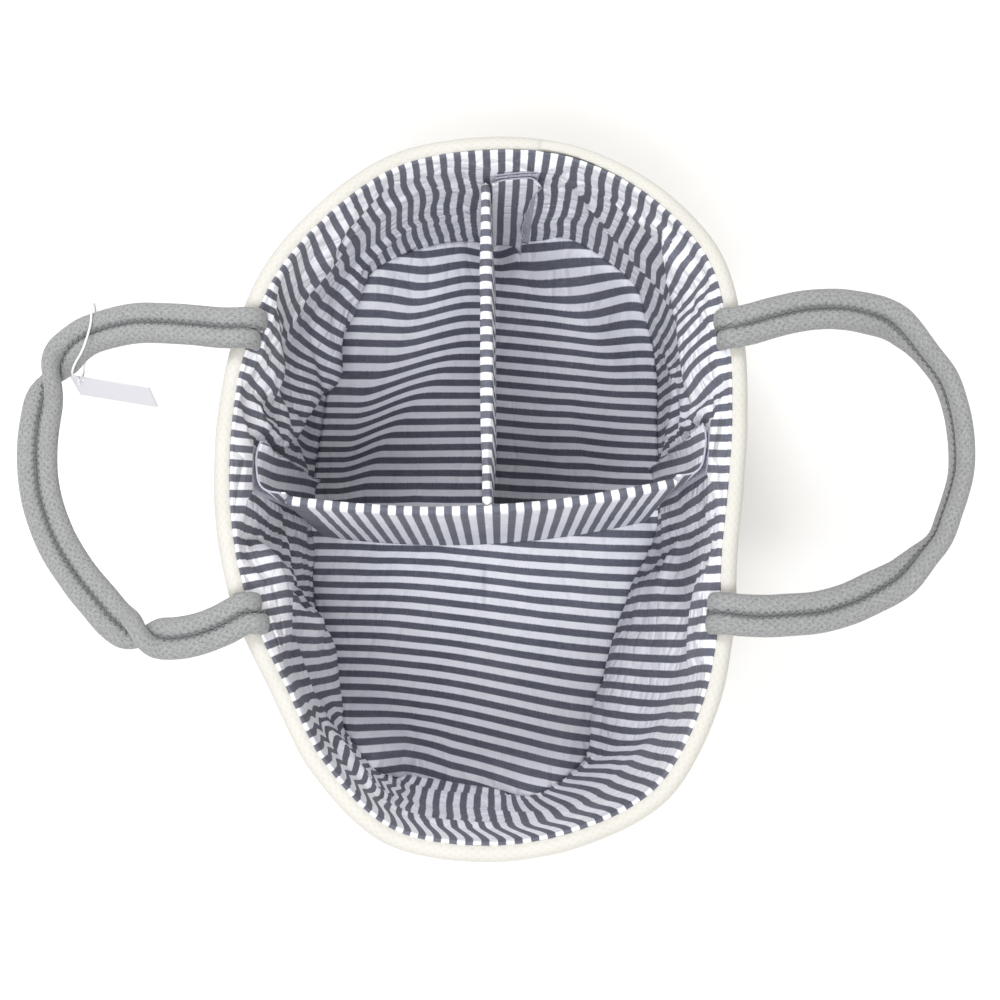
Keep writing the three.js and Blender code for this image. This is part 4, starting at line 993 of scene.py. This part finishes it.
for side in ("left", "right"):
    middle, out, _ = handle_frame(side)
    for which, aside, tail_side in (("outer", half_gap, "back"), ("inner", -half_gap, "front")):
        line, away, low = strand(side, aside, 200)
        travelled = np.linspace(0, travel(line)[-1], len(line))
        swell = 1 + 0.02 * waver(travelled, 0.05, 11)
        rope = tube(line, 5.25 * mm * swell, (4.5 * mm - 2 * mm * low) * swell, 18, up=away)
        nodes = (f"{side}_handle_{which}_strand", f"{side}_handle_{tail_side}_tail")
        piece = new_piece(f"{side}_handle_{which}_rope", rope, None, grey_rope, "grey_rope", *nodes)
        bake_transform(piece)
    # The zigzag between the two ropes, on both their faces, stops short of the tails' ends.
    line, away, low = (part[14:-14] for part in strand(side, 0, 231))
    beside = np.cross(unit(np.gradient(line, axis=0)), away)
    for face, sign in (("upper", 1), ("lower", -1)):
        path = line + away * (sign * (3.6 - 1.5 * low[:, None]) * mm)
        path = path + beside * to_and_fro(len(line), 1.7 * mm)[:, None]
        thread = tube(path, 0.4 * mm, 0.4 * mm, 5, up=away)
        thread = new_piece(f"{side}_handle_{face}_thread", thread, None, dark_thread, "grey_rope")
        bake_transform(thread)


# Tag
# A small card of white board, left blank, hangs from a loop of thin clear nylon round the left handle.
def tag_line():
    """The string's line: up round both ropes of the left handle, and down to the card's hole."""
    middle, out, back = handle_frame("left")
    lies = smooth_line(handle_lie("left") * (-1, 1, 1), 37)
    along, crosses = lies[11] - lies[9], math.radians(40)
    turn = math.atan2(along[1], along[0]) - crosses
    clear = (5 + 4 + 0.6) * mm
    wide = 1 / math.cos(crosses)
    turns = [(5 * mm, math.pi / 4 * i) for i in range(0, 3)] + [(-5 * mm, math.pi / 4 * i) for i in range(2, 7)]
    loop = [(wide * (centre + clear * math.cos(angle)), clear * math.sin(angle)) for centre, angle in turns]
    aside, down = 19 * mm, 17 * mm
    loop += [(5 * mm, -clear - 1.2 * mm), (aside - 3.6 * mm, -down - 0.7 * mm), (aside, -down - 0.35 * mm)]
    loop += [(aside + 2.4 * mm, -down + 0.7 * mm), (aside, -down + 6.2 * mm)]
    furthest = wide * (5 * mm + clear)
    local = [(-5 * mm * max(0, 1 - (a / furthest) ** 2) if z > 0 else 0, a, z) for a, z in loop]
    local = smooth_line(local, 161, closed=True)[:-1]
    spot = lies[10] + local @ np.array(Matrix.Rotation(turn, 3, "Z")).T
    return middle - spot[:, :1] * out + spot[:, 1:2] * back + spot[:, 2:] * upwards


# Clear nylon, whitish and a little shiny, worn in patches of 2.5 mm.
clear_nylon = fine_finish("clear_nylon_string", "#dfe1e4", "#f6f7f8", noise_at, [400.0], 0.35)
string = tube(tag_line(), 0.55 * mm, 0.55 * mm, 8, up=(1, 0, 0.01), closed=True)
new_piece("tag_loop", string, "left_handle", clear_nylon, "white_string", "tag_string")

# Uncoated card, even and matt, greyed a little below white: painted shade of the tilted card. Its pulp is drawn at
# 1.1 mm, coarser than real.
white_card = fine_finish("white_card", "#d2d2da", "#dbdbe2", noise_at, [900.0, 3.0], 0.75, relief=0.03 * mm)
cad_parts["tag_card"].material_slots[0].material = white_card
